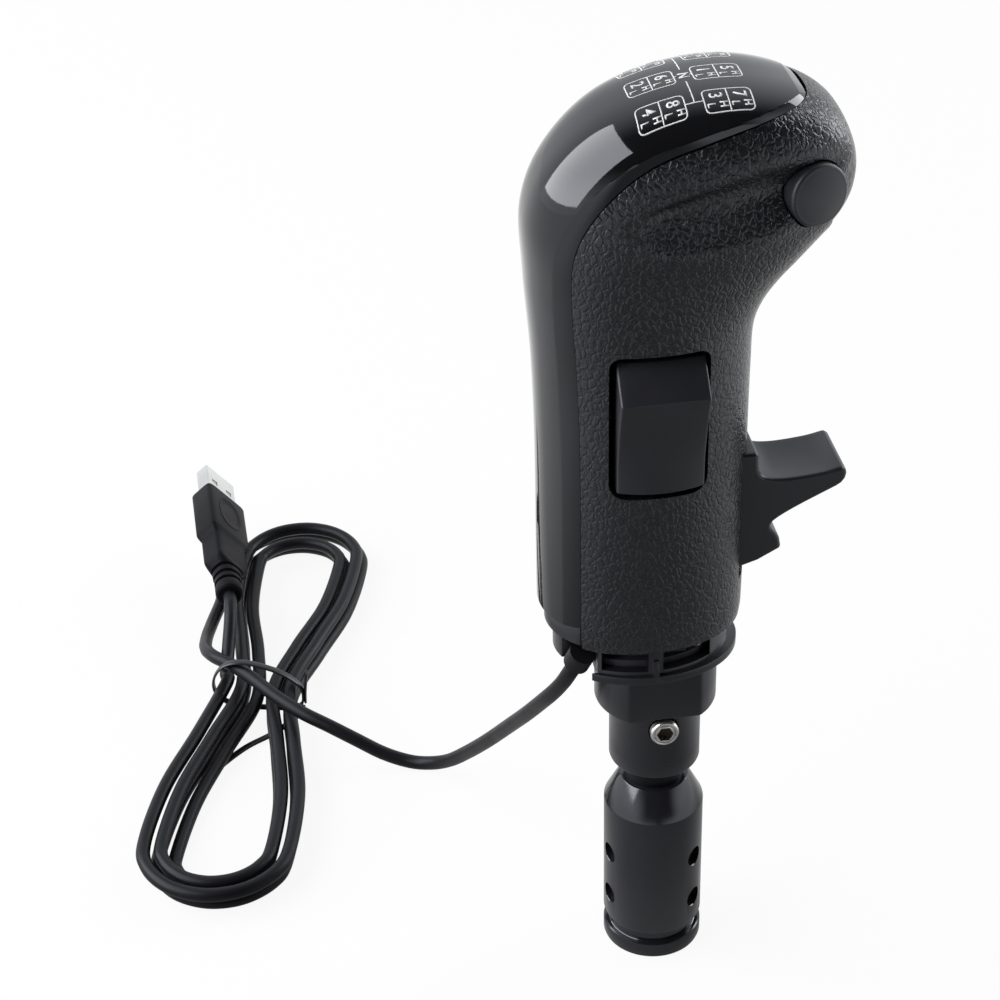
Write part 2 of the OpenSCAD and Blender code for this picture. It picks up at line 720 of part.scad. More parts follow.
module rocker_housing() {
    color("#19191a") at_rocker() difference() {
        translate([-housing_half, -housing_front, -housing_h / 2])
            cube([2 * housing_half, housing_front + housing_back, housing_h]);
        translate([-housing_half + cheek_t, -housing_front - over, -housing_h / 2 + cheek_t])
            cube([2 * (housing_half - cheek_t), housing_front + housing_back + over - cheek_t, housing_h - 2 * cheek_t]);
        rotate([0, 90, 0]) cylinder(r = rocker_pin_r + fit, h = 4 * housing_half, center = true);
        for (z = terminal_z) translate([-terminal_w / 2, 0, z - terminal_t / 2]) cube([terminal_w, 20, terminal_t]);
    }
}

bridge_t = 0.8;
module rocker_bridge() {
    color("#c9a45a") at_rocker() translate([-5, housing_back - cheek_t - bridge_t, -8]) cube([10, bridge_t, 16]);
}

terminal_w = 6.3;
terminal_t = 0.8;
terminal_z = [-11, 0, 11];
module rocker_terminals() {
    color("#c9a45a") at_rocker() for (z = terminal_z)
        translate([-terminal_w / 2, housing_back - cheek_t, z - terminal_t / 2]) cube([terminal_w, cheek_t + 5, terminal_t]);
}

// Thumb button, along its own axis from the skin outwards
button_at = [nose_x - 11.9, -head_half + 4.2, shaft_h + 45.8];
button_az = -70;
button_el = 3;
button_lip = 0.9;
bush_wall = 1;
bush_r = button_r + button_lip + bush_wall;
bush_front = -5.2;
bush_back = -17;
lip_t = 1.2;
lip_z = bush_front - 1.4;
switch_top = lip_z - lip_t - button_travel - 0.6;

module at_button() {
    translate(button_at + [0, 0, grip_z]) rotate([0, 90 - button_el, button_az]) children();
}

module button_cap() {
    shoulder = button_out - button_dome;
    dome_r = (button_r * button_r + button_dome * button_dome) / (2 * button_dome);
    color("#2b2b2d") at_button() union() {
        translate([0, 0, lip_z - lip_t]) cylinder(r = button_r, h = shoulder - lip_z + lip_t);
        translate([0, 0, lip_z - lip_t]) cylinder(r = button_r + button_lip - 0.2, h = lip_t);
        intersection() {
            translate([0, 0, button_out - dome_r]) sphere(r = dome_r);
            translate([0, 0, shoulder]) cylinder(r = button_r, h = button_dome + over);
        }
    }
}

module button_bush() {
    color("#1a1a1b") at_button() difference() {
        translate([0, 0, bush_back]) cylinder(r = bush_r, h = bush_front - bush_back);
        translate([0, 0, bush_back + bush_wall]) cylinder(r = bush_r - bush_wall, h = lip_z - bush_back - bush_wall);
        translate([0, 0, lip_z - over]) cylinder(r = button_r + side_gap, h = bush_front - lip_z + 2 * over);
    }
}

spring_r = 4.6;
module button_spring() {
    color("#b0b3b6") at_button() translate([0, 0, bush_back + bush_wall]) difference() {
        cylinder(r = spring_r, h = lip_z - lip_t - bush_back - bush_wall);
        translate([0, 0, -over]) cylinder(r = spring_r - 0.7, h = 20);
    }
}

module button_switch() {
    color("#3a3a3d") at_button() translate([0, 0, bush_back + bush_wall]) union() {
        translate([-2.6, -2.6, 0]) cube([5.2, 5.2, 3.4]);
        cylinder(r = 1.6, h = switch_top - bush_back - bush_wall);
    }
}

// Board with the USB controller
board_t = 1.6;
board_w = 24;
board_low = 6.6;
board_high = 40.2;
board_screw_r = 1.2;
board_screw_l = 7;
board_head_h = 1.3;
board_x = post_x - board_t;
module at_board_screws() {
    for (side = [-1, 1], z = [board_low + 4, board_high - 4])
        translate([post_x, side * post_y, grip_z + z]) rotate([0, -90, 0]) children();
}

module circuit_board() {
    color("#1f5a35") difference() {
        translate([board_x, -board_w / 2, grip_z + board_low]) cube([board_t, board_w, board_high - board_low]);
        at_board_screws() translate([0, 0, -over]) cylinder(r = board_screw_r + 0.2, h = board_t + 2 * over);
    }
}

module board_screws() {
    color("#9a9da0") at_board_screws() union() {
        translate([0, 0, -board_screw_l]) cylinder(r = board_screw_r, h = board_screw_l + board_t);
        translate([0, 0, board_t]) cylinder(r = board_screw_r * 1.8, h = board_head_h);
    }
}

module control_chip() {
    color("#101011") translate([board_x - 1.1, -3.5, grip_z + 24]) cube([1.1, 7, 7]);
}

module cord_socket() {
    color("#e4e0d2") translate([board_x - 4, -5, grip_z + board_low + 6]) cube([4, 10, 4.5]);
}

// USB lead: the free stretch runs over its own points, and the hank follows a formula
cord_r = cord_d / 2;
hank_mid = [-89.6, 107, 0];
hank_turn = -14;
waist_lift = 1.2;
hank_step = 4.6;
waist_half = 2.5 * hank_step;
waist_run = 30;
end_r = 21.5;
near_half = 88;
far_half = 90;
far_step = 8;
layer_rise = 4.3;
turn_first = 0.375;
turn_last = 4.25;
turn_in = 2.25;
climb_from = 2.12;
climb_turn = 0.3;
loop_rings = 24;
hank_sides = 6;
cord_sides = 8;

function ease(x) = let (k = min(1, max(0, x))) k * k * (3 - 2 * k);
function wound(t) = t < turn_in ? t : 2 * turn_in - t;
// Share of a turn that each quarter of a round end takes
quarter = 1 / 8;
// Across, along and up, t turns along the hank: round ends, and runs that are drawn in at the waist
function hank_point(t) =
    let (k = wound(t), f = t - floor(t),
         side = f < 0.5 ? -1 : 1,
         g = f < 0.5 ? f : 1 - f,
         r = end_r - hank_step * k,
         near = r - near_half + hank_step * k,
         far = far_half - far_step * k - r,
         low = 90 * g / quarter,
         high = 90 * (0.5 - g) / quarter,
         v = g < quarter ? near - r * cos(low) : g > 0.5 - quarter ? far + r * cos(high)
             : near + (far - near) * (g - quarter) / (0.5 - 2 * quarter),
         pull = exp(-pow(v / waist_run, 2)),
         w = g < quarter ? r * sin(low) : g > 0.5 - quarter ? r * sin(high)
             : r - (r - waist_half + hank_step * k) * pull)
    [side * w, v, cord_r + layer_rise * ease((t - climb_from) / climb_turn) + waist_lift * pull];
turn_count = ceil((turn_last - turn_first) * loop_rings);
hank_loops = [for (k = [0:turn_count]) hank_point(turn_first + (turn_last - turn_first) * k / turn_count)];
plug_z = 17;
neck = [-14, 29.8, plug_z];
plug_turn = 14.5;
plug_roll = 50;
plug_way = [-sin(plug_turn), cos(plug_turn), 0];
// Straight lead-in of the first ring and the run up to the plug
hank_start = hank_loops[0] - cord_d * unit(hank_loops[1] - hank_loops[0]);
hank_run = [
    [-11.1, 4.5, 7.7],
    [-11.5, 9.5, 9.3],
    [-11.8, 14, 11.6],
    [-12, 18, 13.9],
    [-12.3, 21.5, 15.7],
    [-12.8, 24.5, 16.7],
    neck - cord_d * plug_way,
    neck,
];
hank_path = concat([hank_start], hank_loops, hank_run);

function unit(v) = v / norm(v);
function heading(path, i) = unit(path[min(i + 1, len(path) - 1)] - path[max(i - 1, 0)]);
function ring(at, way, r, sides, ref) =
    let (across = unit(cross(ref, way)), up = cross(way, across))
    [for (k = [0:sides - 1]) at + r * (cos(360 * k / sides) * across + sin(360 * k / sides) * up)];

module tube(path, r, sides, ref) {
    n = len(path);
    points = flat_list([for (i = [0:n - 1]) ring(path[i], heading(path, i), r, sides, ref)]);
    walls = flat_list([for (i = [0:n - 2]) for (k = [0:sides - 1])
        let (a = i * sides + k, b = i * sides + (k + 1) % sides)
        two_triangles(a, a + sides, b + sides, b)]);
    ends = concat(
        [for (k = [1:sides - 2]) [0, k, k + 1]],
        [for (k = [1:sides - 2]) [(n - 1) * sides, (n - 1) * sides + k + 1, (n - 1) * sides + k]]);
    polyhedron(points, concat(walls, ends));
}

module on_hank() {
    translate(hank_mid) rotate([0, 0, hank_turn]) children();
}

// Least gap between stretches of the hank that lie more than a third of a turn apart
apart = loop_rings / 3;
hank_gap = min([for (i = [0:len(hank_path) - 1]) for (j = [i + apart:1:len(hank_path) - 1])
    norm(hank_path[i] - hank_path[j])]) - cord_d;
echo(least_gap_of_the_hank = hank_gap);

module usb_hank() {
    color("#2f2f31") on_hank() tube(hank_path, cord_r, hank_sides, [0, 0, 1]);
}

// Free stretch: down through the notch, along the floor and over the hank's waist
cord_exit = [-20.3, -8.8, 91.3];
exit_way = unit([-0.26, 0.4, -0.88]);
cord_in = 3.4;
cord_points = [
    cord_exit - cord_in * exit_way,
    cord_exit,
    cord_exit + 4.4 * exit_way,
    [-22.7, -3.9, 82.2],
    [-24.2, 0.6, 76.2],
    [-25.8, 7, 68.9],
    [-28, 17.5, 57.5],
    [-31, 30.4, 43.8],
    [-34.4, 43.2, 30],
    [-38.3, 54.8, 17.6],
    [-42.3, 63.8, 8.2],
    [-46.8, 69.2, 3.6],
    [-52.2, 72.4, 2.4],
    [-59, 75.2, 4],
    [-66, 78.4, 7.2],
    [-73, 82, 10.2],
    [-79.8, 86.8, 12],
];
waist_points = [
    [6.3, -11.1, 12.4],
    [-1.5, -3.9, 12.8],
    [-8.4, 1.7, 13],
    [-14.6, 6.6, 12.2],
    [-18.4, 13.5, 9.6],
    [-20.4, 23, 6.2],
    [-21.2, 34, 3.4],
    [-21, 48, 2.1],
];
function to_world(p) = hank_mid + [
    p[0] * cos(hank_turn) - p[1] * sin(hank_turn),
    p[0] * sin(hank_turn) + p[1] * cos(hank_turn),
    p[2]];
join_way = unit(hank_loops[0] - hank_start);
cord_path = concat(
    cord_points,
    [for (p = waist_points) to_world(p)],
    [to_world(hank_start - 1.5 * cord_d * join_way)]);
cord_rings = 66;
cord_line = concat(curve(cord_path, cord_rings), [to_world(hank_start)]);
module usb_cord() {
    color("#2f2f31") tube(cord_line, cord_r, cord_sides, [1, 1, 0]);
}

sleeve_wall = 1.2;
module cord_grommet() {
    color("#151516") translate(cord_exit) rotate([0, acos(exit_way[2]), atan2(exit_way[1], exit_way[0])]) difference() {
        translate([0, 0, -cord_in - sleeve_wall]) cylinder(r = cord_r + sleeve_wall, h = cord_in + sleeve_wall);
        translate([0, 0, -cord_in]) cylinder(r = cord_r + 0.1, h = cord_in + over);
    }
}

// Wire tie round the waist, with two tails
tie_w = 2.4;
tie_t = 0.7;
tie_v = -0.5;
tie_loop = [
    [-4, 0], [7, 0], [11, 1.5], [12, 5], [11, 9], [6, 13], [-1, 15.6],
    [-6, 16.3], [-10.4, 15], [-13.2, 11.4], [-14.2, 7.4], [-12.8, 3.4], [-8.8, 0.8],
];
function closed(points) = concat(points, [points[0], points[1], points[2]]);
function ring_curve(points, n) =
    [for (k = [0:n - 1]) along(closed(points), 1 + len(points) * k / n)];
tie_outer = [for (p = ring_curve(tie_loop, 44)) [p[0], max(p[1], 0)]];
tie_mid = [-1.5, 7];
tie_inner = [for (p = tie_outer) p - tie_t * unit(p - tie_mid)];
module cord_tie() {
    color("#111112") on_hank() translate([0, tie_v, 0]) union() {
        rotate([90, 0, 0]) linear_extrude(tie_w, center = true) difference() {
            polygon(tie_outer);
            polygon(tie_inner);
        }
        translate([11.4, -tie_w / 2, 5]) rotate([0, 15, -12]) cube([tie_t, tie_w, 10]);
    }
}

// Plug along its own axis from the neck
mould_block = 23;
mould_mid = 13.8;
relief_l = 13;
relief_r = 4;
module at_plug() {
    on_hank() translate(neck) rotate([0, 0, plug_turn]) rotate([-90, 0, 0]) rotate([0, 0, plug_roll]) children();
}

module block(w, h, l, r) {
    for (s = [[w - 2 * r, h], [w, h - 2 * r]])
        translate([-s[0] / 2, -s[1] / 2, 0]) cube([s[0], s[1], l]);
    for (x = [-1, 1], y = [-1, 1])
        translate([x * (w / 2 - r), y * (h / 2 - r), 0]) cylinder(r = r, h = l);
}

mould_l = relief_l + mould_mid + mould_block;
module plug_mould() {
    color("#2a2a2c") at_plug() difference() {
        union() {
            cylinder(r1 = relief_r - 0.6, r2 = relief_r, h = relief_l + over);
            translate([0, 0, relief_l]) block(mould_w - 3, mould_h - 1, mould_mid + over, 1.6);
            translate([0, 0, relief_l + mould_mid]) block(mould_w, mould_h, mould_block, 1.2);
        }
        translate([0, 0, mould_l - 6]) block(plug_w + 2 * fit, plug_h + 2 * fit, 10, 0.4);
    }
}

shell_t = 0.35;
module plug_shell() {
    color("#cfd1d3") at_plug() translate([0, 0, mould_l - 6]) difference() {
        block(plug_w, plug_h, plug_l + 6, 0.4);
        translate([-plug_w / 2 + shell_t, -plug_h / 2 + shell_t, shell_t])
            cube([plug_w - 2 * shell_t, plug_h - 2 * shell_t, plug_l + 6]);
        for (side = [-1, 1], x = [-3, 3])
            translate([x - 1.15, side > 0 ? 0 : -plug_h, 6 + 5.2]) cube([2.3, plug_h, 2.3]);
    }
}

tongue_t = 1.9;
module plug_tongue() {
    color("#e8e6df") at_plug() translate([-plug_w / 2 + shell_t, -plug_h / 2 + shell_t, mould_l - 6 + shell_t])
        cube([plug_w - 2 * shell_t, tongue_t, plug_l + 5]);
}

module plug_contacts() {
    color("#d9b45c") at_plug() for (x = [-3.5, -1, 1, 3.5])
        translate([x - 0.6, -plug_h / 2 + shell_t + tongue_t, mould_l + 2]) cube([1.2, 0.15, plug_l - 4]);
}

lever_adapter();
lever_sleeve();
clamp_screws();
threaded_stud();
mount_hub();
hub_set_screw();
hub_screws();
base_collar();
inner_frame();
grip_body();
spine_cover();
rocker_cap();
rocker_pin();
rocker_housing();
rocker_plunger();
rocker_spring();
rocker_bridge();
rocker_terminals();
trigger_lever();
trigger_pin();
trigger_bushes();
trigger_switch();
switch_screws();
detent_leaf();
button_cap();
button_bush();
button_spring();
button_switch();
circuit_board();
board_screws();
control_chip();
cord_socket();
cord_grommet();
usb_cord();
usb_hank();
cord_tie();
plug_mould();
plug_shell();
plug_tongue();
plug_contacts();
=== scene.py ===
# %% [markdown]
# # A truck style gear knob for a driving simulator
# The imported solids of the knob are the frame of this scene. Each cell below gives one piece its real skin
# or its real finish. All lengths in the formulas are millimetres, as on a drawing, and become metres only
# where a mesh is made.

# %% The frame and its box
import json

import bmesh
import bpy
import numpy as np
from mathutils import Matrix


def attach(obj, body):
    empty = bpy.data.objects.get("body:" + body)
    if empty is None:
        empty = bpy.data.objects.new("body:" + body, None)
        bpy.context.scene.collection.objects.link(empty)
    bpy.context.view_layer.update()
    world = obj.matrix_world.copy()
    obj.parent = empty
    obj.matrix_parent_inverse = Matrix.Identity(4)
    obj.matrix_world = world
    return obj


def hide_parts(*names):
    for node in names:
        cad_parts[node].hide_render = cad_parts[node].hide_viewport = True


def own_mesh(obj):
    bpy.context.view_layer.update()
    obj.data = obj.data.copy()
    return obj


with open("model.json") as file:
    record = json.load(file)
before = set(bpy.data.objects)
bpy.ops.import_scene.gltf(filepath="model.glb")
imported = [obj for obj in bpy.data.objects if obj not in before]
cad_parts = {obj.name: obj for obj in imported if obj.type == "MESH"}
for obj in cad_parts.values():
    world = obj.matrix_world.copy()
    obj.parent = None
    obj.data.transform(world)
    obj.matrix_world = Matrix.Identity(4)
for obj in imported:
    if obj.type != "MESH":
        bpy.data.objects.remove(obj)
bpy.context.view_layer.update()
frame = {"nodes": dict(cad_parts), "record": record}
MM = 0.001


# %% Objects in the scene
def placed(name, data):
    """New object of that data, linked to the scene."""
    piece = bpy.data.objects.new(name, data)
    bpy.context.scene.collection.objects.link(piece)
    return piece


def stand(piece, axes, place):
    """Puts an object at a place in metres, with its own x, y and z along the three axes."""
    turn = np.eye(4)
    turn[:3, :3], turn[:3, 3] = np.stack(axes, 1), place
    piece.matrix_world = Matrix(turn.tolist())


# %% [markdown]
# ## The camera
# The knob is photographed from a little above and slightly from its back. The view was worked out from the
# round foot, the hub and the rocker's window. A long lens on a far stand keeps the perspective mild.
# Building the camera's axes from three angles makes each of them easy to change by itself.

# %% Camera
def camera_axes(azimuth, pitch, roll):
    """Right, up and backward axes: look along +Y turned by azimuth, tipped down by pitch, with the picture
    then turned by roll."""
    a, p, r = np.radians([azimuth, pitch, roll])
    back = np.array([np.sin(a) * np.cos(p), -np.cos(a) * np.cos(p), np.sin(p)])
    right = np.cross(-back, [0, 0, 1])
    right /= np.linalg.norm(right)
    up = np.cross(right, -back)
    return np.cos(r) * right - np.sin(r) * up, np.sin(r) * right + np.cos(r) * up, back


lens = bpy.data.cameras.new("studio_camera")
lens.lens, lens.sensor_width = 90, 36
lens.clip_start, lens.clip_end = 0.01, 50
azimuth, pitch, roll = -8, 33, 1.5
camera_place = (-0.100313, -0.459936, 0.433333)
camera = placed("studio_camera", lens)
stand(camera, camera_axes(azimuth, pitch, roll), camera_place)
bpy.context.scene.camera = camera
print("camera at", np.round(camera_place, 3))

# %% [markdown]
# ## Helpers for surfaces
# Nearly every piece here is a grid of points: rows along the piece, and columns round it. A grid can be
# joined into faces by its indices alone, so one helper serves all. The alternative, adding faces one by one
# in mesh code, is slower and harder to read.

# %% Grid, ring and mesh helpers
def grid_faces(rows, cols, around, first=0):
    """Four-sided faces of a grid of indices; with around, the last column joins the first."""
    index = first + np.arange(rows * cols).reshape(rows, cols)
    if around:
        index = np.concatenate([index, index[:, :1]], 1)
    return np.stack([index[:-1, :-1], index[:-1, 1:], index[1:, 1:], index[1:, :-1]], -1).reshape(-1, 4)


def wall_faces(edge, thick):
    """Faces that join an edge of an outer grid to the same edge of its inner one, thick indices further
    on."""
    return np.stack([edge[:-1], edge[1:], edge[1:] + thick, edge[:-1] + thick], 1)


def curve_through(points, share):
    """Smooth curve through the points: each span is a cubic whose slope at a point is half the step between
    the point's neighbours. A share of 2.5 is half way from the third point to the fourth."""
    points = np.asarray(points, float)
    n = len(points) - 1
    share = np.asarray(share, float)
    i = np.clip(np.floor(share).astype(int), 0, n - 1)
    f = (share - i)[..., None]
    p = np.vstack([2 * points[0] - points[1], points, 2 * points[-1] - points[-2]])
    a, b, c, d = p[i], p[i + 1], p[i + 2], p[i + 3]
    return 0.5 * (2 * b + (c - a) * f + (2 * a - 5 * b + 4 * c - d) * f**2 + (3 * b - a - 3 * c + d) * f**3)


def unit(v):
    """The vectors divided by their lengths."""
    return v / np.linalg.norm(v, axis=-1, keepdims=True)


def signed_power(v, e):
    """The size of each value raised to the power e, with its sign kept."""
    return np.sign(v) * np.abs(v)**e


def smooth_step(x):
    """Rise from 0 to 1 with level ends: three squares less two cubes of x, which is held between 0 and 1."""
    x = np.clip(x, 0, 1)
    return x * x * (3 - 2 * x)


def make(name, points, faces, sharp=35, outward=True):
    """Mesh object from points in millimetres, with its doubles merged and its faces turned outwards. Edges
    over the sharp angle stay crisp, and the rest is shaded round."""
    mesh = bpy.data.meshes.new(name)
    mesh.from_pydata((np.asarray(points, float).reshape(-1, 3) * MM).tolist(), [], [list(f) for f in faces])
    piece = placed(name, mesh)
    if outward:
        b = bmesh.new()
        b.from_mesh(mesh)
        bmesh.ops.remove_doubles(b, verts=b.verts, dist=1e-7)
        bmesh.ops.recalc_face_normals(b, faces=b.faces)
        b.to_mesh(mesh)
        b.free()
    shade(piece, sharp)
    return piece


def shade(piece, sharp):
    """Round shading that leaves edges over the sharp angle crisp."""
    piece.data.shade_smooth()
    piece.data.set_sharp_from_angle(angle=np.radians(sharp))


def closed_loft(name, rows, sharp=35):
    """Closed skin over rings: side faces between neighbouring rings, and a flat face over the first ring
    and the last."""
    n, m = rows.shape[:2]
    ends = [list(range(m))[::-1], list(range((n - 1) * m, n * m))]
    return make(name, rows, grid_faces(n, m, True).tolist() + ends, sharp)


def shell(name, outer, inner, walls, caps=(), sharp=35):
    """Closed skin of an outer grid and an inner one, which is turned over. Walls are the edges of the index
    grid along which the two are joined, and caps are rings of it that are filled in both."""
    n, m = outer.shape[:2]
    faces = [grid_faces(n, m, False), grid_faces(n, m, False, n * m)[:, ::-1]]
    faces += [wall_faces(edge, n * m) for edge in walls]
    ends = [face for ring in caps for face in (ring.tolist(), (ring[::-1] + n * m).tolist())]
    points = np.concatenate([outer.reshape(-1, 3), inner.reshape(-1, 3)])
    return make(name, points, np.vstack(faces).tolist() + ends, sharp)


def applied(piece):
    """The piece with its modifiers made real."""
    seen = piece.evaluated_get(bpy.context.evaluated_depsgraph_get())
    old = piece.data
    piece.data = bpy.data.meshes.new_from_object(seen)
    piece.modifiers.clear()
    bpy.data.meshes.remove(old)
    return piece


def cut(piece, cutters, sharp=35):
    """Takes the cutters out of the piece, one after another, and throws them away."""
    for cutter in cutters:
        change = piece.modifiers.new("cut", "BOOLEAN")
        change.operation, change.solver, change.object = "DIFFERENCE", "EXACT", cutter
    applied(piece)
    for cutter in cutters:
        bpy.data.objects.remove(cutter)
    shade(piece, sharp)
    return piece


def full_turn(sides):
    """Angles of equal steps once round."""
    return np.linspace(0, 2 * np.pi, sides, endpoint=False)


def revolve(profile, sides=96):
    """Rings of a turned piece: each profile point (radius, height) is carried once round the axis."""
    profile = np.asarray(profile, float)
    angle = full_turn(sides)
    r, z = profile[:, :1], profile[:, 1:]
    return np.stack([r * np.cos(angle), r * np.sin(angle), z + 0 * angle], -1)


def rod(radius, low, high, sides=48):
    """Rings of a plain cylinder between two heights."""
    return revolve([(radius, low), (radius, high)], sides)


def rounded(corners, radius, steps=5):
    """Closed outline whose corners become short curves: a parabola from radius before each corner to radius
    after it, or less where a side is short."""
    c = np.asarray(corners, float)
    before, after = np.roll(c, 1, 0) - c, np.roll(c, -1, 0) - c
    shorter = np.minimum(*(np.linalg.norm(d, axis=1, keepdims=True) for d in (before, after)))
    reach = np.minimum(np.broadcast_to(np.asarray(radius, float), (len(c),))[:, None], 0.45 * shorter)
    a, b = c + reach * unit(before), c + reach * unit(after)
    t = np.linspace(0, 1, steps)[None, :, None]
    curves = (1 - t)**2 * a[:, None] + 2 * t * (1 - t) * c[:, None] + t**2 * b[:, None]
    return curves.reshape(-1, c.shape[1])


def resampled(outline, count):
    """The closed outline at equal steps along its length."""
    loop = np.vstack([outline, outline[:1]])
    run = np.concatenate([[0], np.cumsum(np.linalg.norm(np.diff(loop, axis=0), axis=1))])
    at = np.linspace(0, run[-1], count, endpoint=False)
    return np.stack([np.interp(at, run, loop[:, k]) for k in range(loop.shape[1])], 1)


def soft_outline(corners, edge, fan=6):
    """Core points and outward ways of an outline: the core lies edge inside, and each outer corner gets a
    fan of ways, so that core plus edge times way is the outline with rounded corners. Also the way of each
    corner."""
    c = np.asarray(corners, float)
    if np.sum(c[:, 0] * np.roll(c[:, 1], -1) - c[:, 1] * np.roll(c[:, 0], -1)) < 0:
        c = c[::-1]
    ahead = unit(np.roll(c, -1, 0) - c)
    after = np.stack([ahead[:, 1], -ahead[:, 0]], 1)
    before = np.roll(after, 1, 0)
    corner_way = (before + after) / (1 + np.sum(before * after, 1, keepdims=True))
    share = np.linspace(0, 1, fan)[None, :, None]
    swept = unit(before[:, None] * (1 - share) + after[:, None] * share)
    outer = (before[:, 0] * after[:, 1] - before[:, 1] * after[:, 0] > 0)[:, None, None]
    ways = np.where(outer, swept, corner_way[:, None])
    core = np.repeat((c - edge * corner_way)[:, None], fan, 1)
    middle = np.repeat(corner_way[:, None], fan, 1)
    return core.reshape(-1, 2), ways.reshape(-1, 2), middle.reshape(-1, 2)


def soft_bar(corners, length, edge, steps=7, middle=13):
    """Places and outlines of a bar with rounded edges: outlines grow from the core along a quarter circle,
    stay full along the middle, and shrink again."""
    core, ways, inward = soft_outline(corners, edge)
    bend = np.linspace(0, np.pi / 2, steps)
    end_place, end_size = length / 2 - edge * (1 - np.cos(bend)), np.sin(bend)
    run = np.linspace(-1, 1, middle + 2)[1:-1] * (length / 2 - edge)
    place = np.concatenate([[-length / 2], -end_place, run, end_place[::-1], [length / 2]])
    size = np.concatenate([end_size, np.ones(middle), end_size[::-1]])
    full = core + edge * size[:, None, None] * ways
    flat = (core - 0.25 * inward)[None]
    return place, np.concatenate([flat, full, flat])


print("helpers ready")

# %% [markdown]
# ## Groups for the finishes
# Moulded plastic, grained plastic and turned metal all need the same few effects: a fine tooth in the
# surface, leather-like cells, and the smudges and hairlines of handling. Each is a node group with its own
# inputs, so a finish only says how large and how strong. Object coordinates keep every pattern in place on
# its piece.

# %% Shared effects
def put(tree, kind, settings=None, **sockets):
    """A node with its settings and sockets; a socket takes a value or a link."""
    made = tree.nodes.new(kind)
    for key, value in (settings or {}).items():
        setattr(made, key, value)
    for key, value in sockets.items():
        socket = made.inputs[int(key[1:])] if key[0] == "_" else made.inputs[key.replace("_", " ")]
        if isinstance(value, bpy.types.NodeSocket):
            tree.links.new(value, socket)
        else:
            socket.default_value = value
    return made


def effect(name, inputs, outputs):
    """An empty node group with float and vector inputs and float outputs."""
    group = bpy.data.node_groups.new(name, "ShaderNodeTree")
    for label, kind in inputs:
        group.interface.new_socket(label, in_out="INPUT", socket_type=kind)
    for label in outputs:
        group.interface.new_socket(label, in_out="OUTPUT", socket_type="NodeSocketFloat")
    return group, group.nodes.new("NodeGroupInput"), group.nodes.new("NodeGroupOutput")


def sums(tree, kind, a, b):
    """Output of a maths node on two values or links."""
    return put(tree, "ShaderNodeMath", {"operation": kind}, _0=a, _1=b).outputs[0]


def vectors(tree, kind, a, b):
    """Output of a vector maths node on two vectors or links."""
    return put(tree, "ShaderNodeVectorMath", {"operation": kind}, _0=a, _1=b).outputs[0]


def noise(tree, place, scale, detail, **more):
    """A noise texture of that scale and detail."""
    return put(tree, "ShaderNodeTexNoise", None, Vector=place, Scale=scale, Detail=detail, **more)


def spread(tree, value, low, high, to_low=0.0, to_high=1.0, kind="LINEAR"):
    """Output of a map range node: low to high becomes to_low to to_high, and SMOOTHSTEP levels its ends."""
    made = put(tree, "ShaderNodeMapRange", {"interpolation_type": kind}, Value=value, From_Min=low,
               From_Max=high, To_Min=to_low, To_Max=to_high)
    return made.outputs[0]


VECTOR, FLOAT, SOFT = "NodeSocketVector", "NodeSocketFloat", "SMOOTHSTEP"
tooth, g_in, g_out = effect("moulded_tooth", [("Place", VECTOR), ("Scale", FLOAT)], ["Height", "Tone"])
fine = noise(tooth, g_in.outputs["Place"], g_in.outputs["Scale"], 3.0, Roughness=0.6)
wide = noise(tooth, g_in.outputs["Place"], 70.0, 2.0)
tooth.links.new(fine.outputs["Fac"], g_out.inputs["Height"])
tooth.links.new(spread(tooth, wide.outputs["Fac"], 0.3, 0.7), g_out.inputs["Tone"])

# hide_cells gives the height of the cells for the bump, and a Crease mask that darkens the grooves between
# the cells as painted shade
hide, g_in, g_out = effect("hide_cells", [("Place", VECTOR), ("Scale", FLOAT)], ["Height", "Crease_shade"])
place = g_in.outputs["Place"]
shift = vectors(hide, "SUBTRACT", noise(hide, place, 760.0, 2.0).outputs["Color"], (0.5, 0.5, 0.5))
small = put(hide, "ShaderNodeVectorMath", {"operation": "SCALE"}, _0=shift, Scale=0.0014).outputs[0]
longer = vectors(hide, "MULTIPLY", vectors(hide, "ADD", place, small), (1.15, 1.15, 0.75))
cells = put(hide, "ShaderNodeTexVoronoi", {"feature": "DISTANCE_TO_EDGE"}, Vector=longer,
            Scale=g_in.outputs["Scale"], Randomness=1.0)
pores = noise(hide, place, 2600.0, 2.0).outputs["Fac"]
dome = spread(hide, cells.outputs["Distance"], 0.0, 0.24, kind=SOFT)
height = sums(hide, "ADD", dome, sums(hide, "MULTIPLY", pores, 0.12))
hide.links.new(height, g_out.inputs["Height"])
hide.links.new(spread(hide, cells.outputs["Distance"], 0.0, 0.1, 1.0, 0.0), g_out.inputs["Crease_shade"])

touch, g_in, g_out = effect("handling", [("Place", VECTOR), ("Grain", VECTOR)], ["Smudge", "Hairline"])
place = g_in.outputs["Place"]
smear = noise(touch, place, 45.0, 4.0, Distortion=0.6)
hair = noise(touch, vectors(touch, "MULTIPLY", place, g_in.outputs["Grain"]), 1.0, 3.0)
touch.links.new(spread(touch, smear.outputs["Fac"], 0.35, 0.7), g_out.inputs["Smudge"])
touch.links.new(spread(touch, hair.outputs["Fac"], 0.4, 0.65), g_out.inputs["Hairline"])
print("effects:", [g.name for g in (tooth, hide, touch)])

# %% [markdown]
# ## The finishes
# Nearly all that shows of the knob is black, so its pieces are told apart by gloss and grain alone. Each
# finish mixes two tones by its pattern, varies its roughness and lifts its relief through a bump. Colours
# are kept at what the real plastic has, except on the grained plastic, whose darker tone in the grooves
# between its cells is painted shade. The lamps do the rest.

# %% Finish builder
FINISH = {}
MIRROR_TINT = (0.9, 0.93, 1.0, 1.0)


